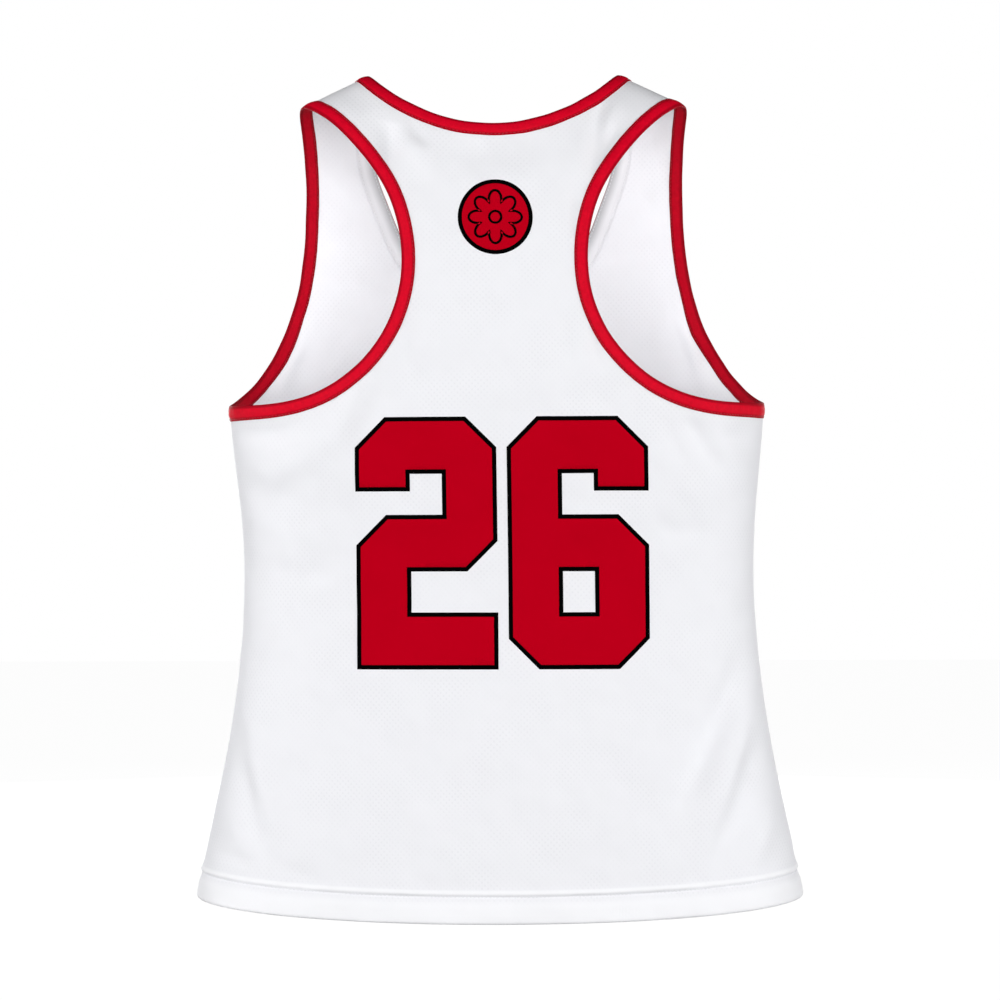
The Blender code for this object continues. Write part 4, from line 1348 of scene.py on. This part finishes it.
def makeTape():
    # a strip between lines walked from the neck edge, on the inside of the front
    backSteps, frontSteps = binding["neckSteps"]
    front = slice(backSteps + 1, backSteps + 2 * frontSteps)
    lanes = np.linspace(tape["from"], tape["to"], tape["lanes"])
    strip = np.stack([intoCloth(neck, lane)[front] for lane in lanes], 1)
    length = pathLength(strip[:, tape["measured"]])
    uv = np.stack(np.broadcast_arrays(length[:, None], lanes[None]), -1).reshape(-1, 2)
    faces = gridFaces(len(strip), len(lanes))
    lift = np.tile(tapeLift(lanes), len(strip))
    under = lift - tape["thick"]
    strip = strip.reshape(-1, 3)
    piece = clothWall("frontNeckTape", strip, faces, lift, under, whiteTape, uv, tape["edgeRound"])
    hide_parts("front_neck_tape")
    for number, place in enumerate(tape["stitchLines"]):
        lane = intoCloth(neck, place)[front]
        facing = facingOut(lane)
        path = placed(lane, facing, tapeLift(place) - tape["thick"] - tape["stitchLift"])
        row = makeStitches(f"tapeStitches{number + 1}", path, -facing, whiteThread, closed=False)


makeTape()

# ---- stitches of the hem

turnsAround = np.linspace(0, 2 * math.pi, hem["steps"] + 1)[:-1]
turn = np.minimum(turnsAround, 2 * math.pi - turnsAround)
for name, above, lift, way in hem["stitches"]:
    line = onForm(turn, fallOf(turn, hemHeight(turn) + above))
    line[:, 0] *= np.where(turnsAround <= math.pi, 1, -1)
    facing = facingOut(line)
    row = makeStitches(name, placed(line, facing, lift), facing * way, whiteThread)
print("hem stitched")

# ---- the number and the badge


def layPatch(name, node, slot, *shape):
    # a patch that takes the place of its node
    piece, size, area = makePatch(name, *shape)
    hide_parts(node)


left = numerals["middle"] - numerals["width"] - numerals["spacing"] / 2
figures = {"2": [twoOutline()], "6": [sixOutline(), sixHole()]}
for place, (figure, outlines) in enumerate(figures.items()):
    corner = np.array([left + place * (numerals["width"] + numerals["spacing"]), numerals["base"]])
    smaller = [inset(outline, numerals["outline"]) for outline in outlines]
    layers = (
        ("Outline", outlines, numerals["under"], blackFilm, "black_number_cloth"),
        ("Fill", smaller, numerals["top"], redFilm, "red_number_cloth"),
    )
    for part, shape, faces, material, slot in layers:
        name, node = f"number{figure}{part}", f"number_{figure}_{part.lower()}"
        layPatch(name, node, slot, shape, corner, faces, material, numerals["pitch"], numerals["softEdge"])

angle = np.arange(badge["sides"]) * 2 * math.pi / badge["sides"]
circle = np.stack([np.cos(angle), np.sin(angle)], 1)
centre = np.array(badge["centre"])
discs = (
    ("Outline", badge["radius"], numerals["under"], blackFilm, "black_number_cloth"),
    ("Face", badge["radius"] - badge["outline"], numerals["top"], redFilm, "red_number_cloth"),
)
for part, radius, faces, material, slot in discs:
    name, node, shape = "badge" + part, "badge_" + part.lower(), [circle * radius]
    layPatch(name, node, slot, shape, centre, faces, material, badge["pitch"], badge["softEdge"])


def petalRadius(angle):
    # between the inner and the outer radius by a power of |cos| of half the petals' angle
    lobe = np.abs(np.cos(badge["petals"] * angle / 2)) ** badge["petalShape"]
    return badge["petalInner"] + (badge["petalOuter"] - badge["petalInner"]) * lobe


def eyeRadius(angle):
    return np.full(len(angle), badge["eye"])


drawn = (("badgeRosette", petalRadius, badge["petalSides"]), ("badgeEye", eyeRadius, badge["eyeSides"]))
for name, radiusOf, sides in drawn:
    lines = ringOutlines(radiusOf, badge["line"], sides)
    line = makePatch(name, lines, centre, badge["face"], blackFilm, badge["linePitch"], badge["softEdge"])
print("number and badge laid on")

# ---- floor, lights and camera

stage = {
    "floorHeight": -0.80,
    "floorSize": 14.0,
    "floor": {"colour": (0.10, 0.10, 0.10), "roughness": 0.9, "sheen": (0.0, 0.5), "specular": 0.0},
    "floorGlow": 0.97,
    "world": 0.317,  # strength of the light from level directions
    "worldBand": (0.05, 0.25, 0.55),  # its middle, and how far from it the band starts and ends to fade
    "lights": [  # name, place, target, width, height, watts
        ("leftFrontLight", (-0.776, -2.90, -0.30), (0.0, 0.0, -0.33), 1.4, 1.4, 20.6),
        ("rightFrontLight", (0.776, -2.90, -0.30), (0.0, 0.0, -0.33), 1.4, 1.4, 33.3),
        ("leftLight", (-2.90, -0.776, -0.30), (0.0, 0.0, -0.33), 1.4, 1.4, 37.6),
        ("rightLight", (2.90, -0.776, -0.30), (0.0, 0.0, -0.33), 1.4, 1.4, 41.5),
        ("highLeftLight", (-1.30, -2.20, 1.30), (0.0, 0.0, -0.33), 1.4, 1.4, 15.7),
        ("leftFarLight", (-1.00, 2.75, -0.10), (0.0, 0.0, -0.33), 1.2, 1.2, 36.0),
        ("rightFarLight", (0.85, 2.85, -0.30), (0.0, 0.0, -0.33), 1.4, 1.4, 28.0),
        # light let in by the mesh, which is opaque here
        ("throughMeshHigh", (0.0, -0.045, -0.08), (0.0, 0.5, -0.08), 0.36, 0.12, 0.0520),
        ("throughMeshLeft", (-0.13, -0.03, -0.20), (-0.13, 0.5, -0.20), 0.10, 0.16, 0.0180),
        ("throughMeshRight", (0.13, -0.03, -0.20), (0.13, 0.5, -0.20), 0.10, 0.16, 0.0190),
    ],
}
cameraView = {
    "distance": 2.6,
    "across": 0.0020,
    "height": -0.3258,
    "width": 0.800,  # what the picture spans at the garment's middle
    "roll": 0.12,
    "sensor": 36.0,
}


def makeStage():
    # a level square under the garment, far wider than it
    half = stage["floorSize"] / 2
    corners = np.array([(-half, -half), (half, -half), (half, half), (-half, half)])
    points = np.column_stack([corners, np.full(4, stage["floorHeight"])])
    mesh = bpy.data.meshes.new("floor")
    mesh.from_pydata(points.tolist(), [], [(0, 1, 2, 3)])
    floor = bpy.data.objects.new("floor", mesh)
    bpy.context.scene.collection.objects.link(floor)
    material, _, shader = newMaterial("paleFloor", stage["floor"])
    shader.inputs["Emission Color"].default_value = (1, 1, 1, 1)
    shader.inputs["Emission Strength"].default_value = stage["floorGlow"]
    mesh.materials.append(material)
    floor.visible_diffuse = False


def makeWorld():
    # the camera sees white all round, and the cloth is lit by a band of sky near the horizon
    world = bpy.data.worlds.new("studio")
    bpy.context.scene.world = world
    world.use_nodes = True
    tree = world.node_tree
    tree.nodes.clear()
    middle, low, high = stage["worldBand"]
    way = addNode(tree, "ShaderNodeTexCoord").outputs["Generated"]
    height = addNode(tree, "ShaderNodeSeparateXYZ", i0=way).outputs[2]
    rise = mathNode(tree, "ABSOLUTE", mathNode(tree, "SUBTRACT", height, middle))
    band = rangeNode(tree, rise, From_Min=low, From_Max=high, To_Min=stage["world"], To_Max=0.0)
    lit = addNode(tree, "ShaderNodeBackground", Color=(1, 1, 1, 1), Strength=band)
    seen = addNode(tree, "ShaderNodeBackground", Color=(1, 1, 1, 1), Strength=1.0)
    path = addNode(tree, "ShaderNodeLightPath").outputs["Is Camera Ray"]
    mix = addNode(tree, "ShaderNodeMixShader", i0=path, i1=lit.outputs[0], i2=seen.outputs[0])
    addNode(tree, "ShaderNodeOutputWorld", Surface=mix.outputs[0])


def makeLights():
    # oval soft lamps, each turned so that its -Z looks at its target
    for name, place, target, width, height, watts in stage["lights"]:
        lamp = bpy.data.lights.new(name, "AREA")
        lamp.shape, lamp.size, lamp.size_y, lamp.energy = "ELLIPSE", width, height, watts
        light = bpy.data.objects.new(name, lamp)
        light.location = place
        light.rotation_euler = (Vector(target) - light.location).to_track_quat("-Z", "Y").to_euler()
        light.visible_camera = False
        bpy.context.scene.collection.objects.link(light)


def makeCamera():
    lens = bpy.data.cameras.new("camera")
    lens.sensor_fit, lens.sensor_width = "HORIZONTAL", cameraView["sensor"]
    lens.lens = cameraView["sensor"] * cameraView["distance"] / cameraView["width"]
    camera = bpy.data.objects.new("camera", lens)
    camera.location = (cameraView["across"], -cameraView["distance"], cameraView["height"])
    camera.rotation_euler = (math.pi / 2, math.radians(cameraView["roll"]), 0)
    bpy.context.scene.collection.objects.link(camera)
    bpy.context.scene.camera = camera


makeStage()
makeWorld()
makeLights()
makeCamera()
bpy.context.scene.view_settings.view_transform = "Standard"
bpy.context.scene.view_settings.look = "None"
print("stage set")
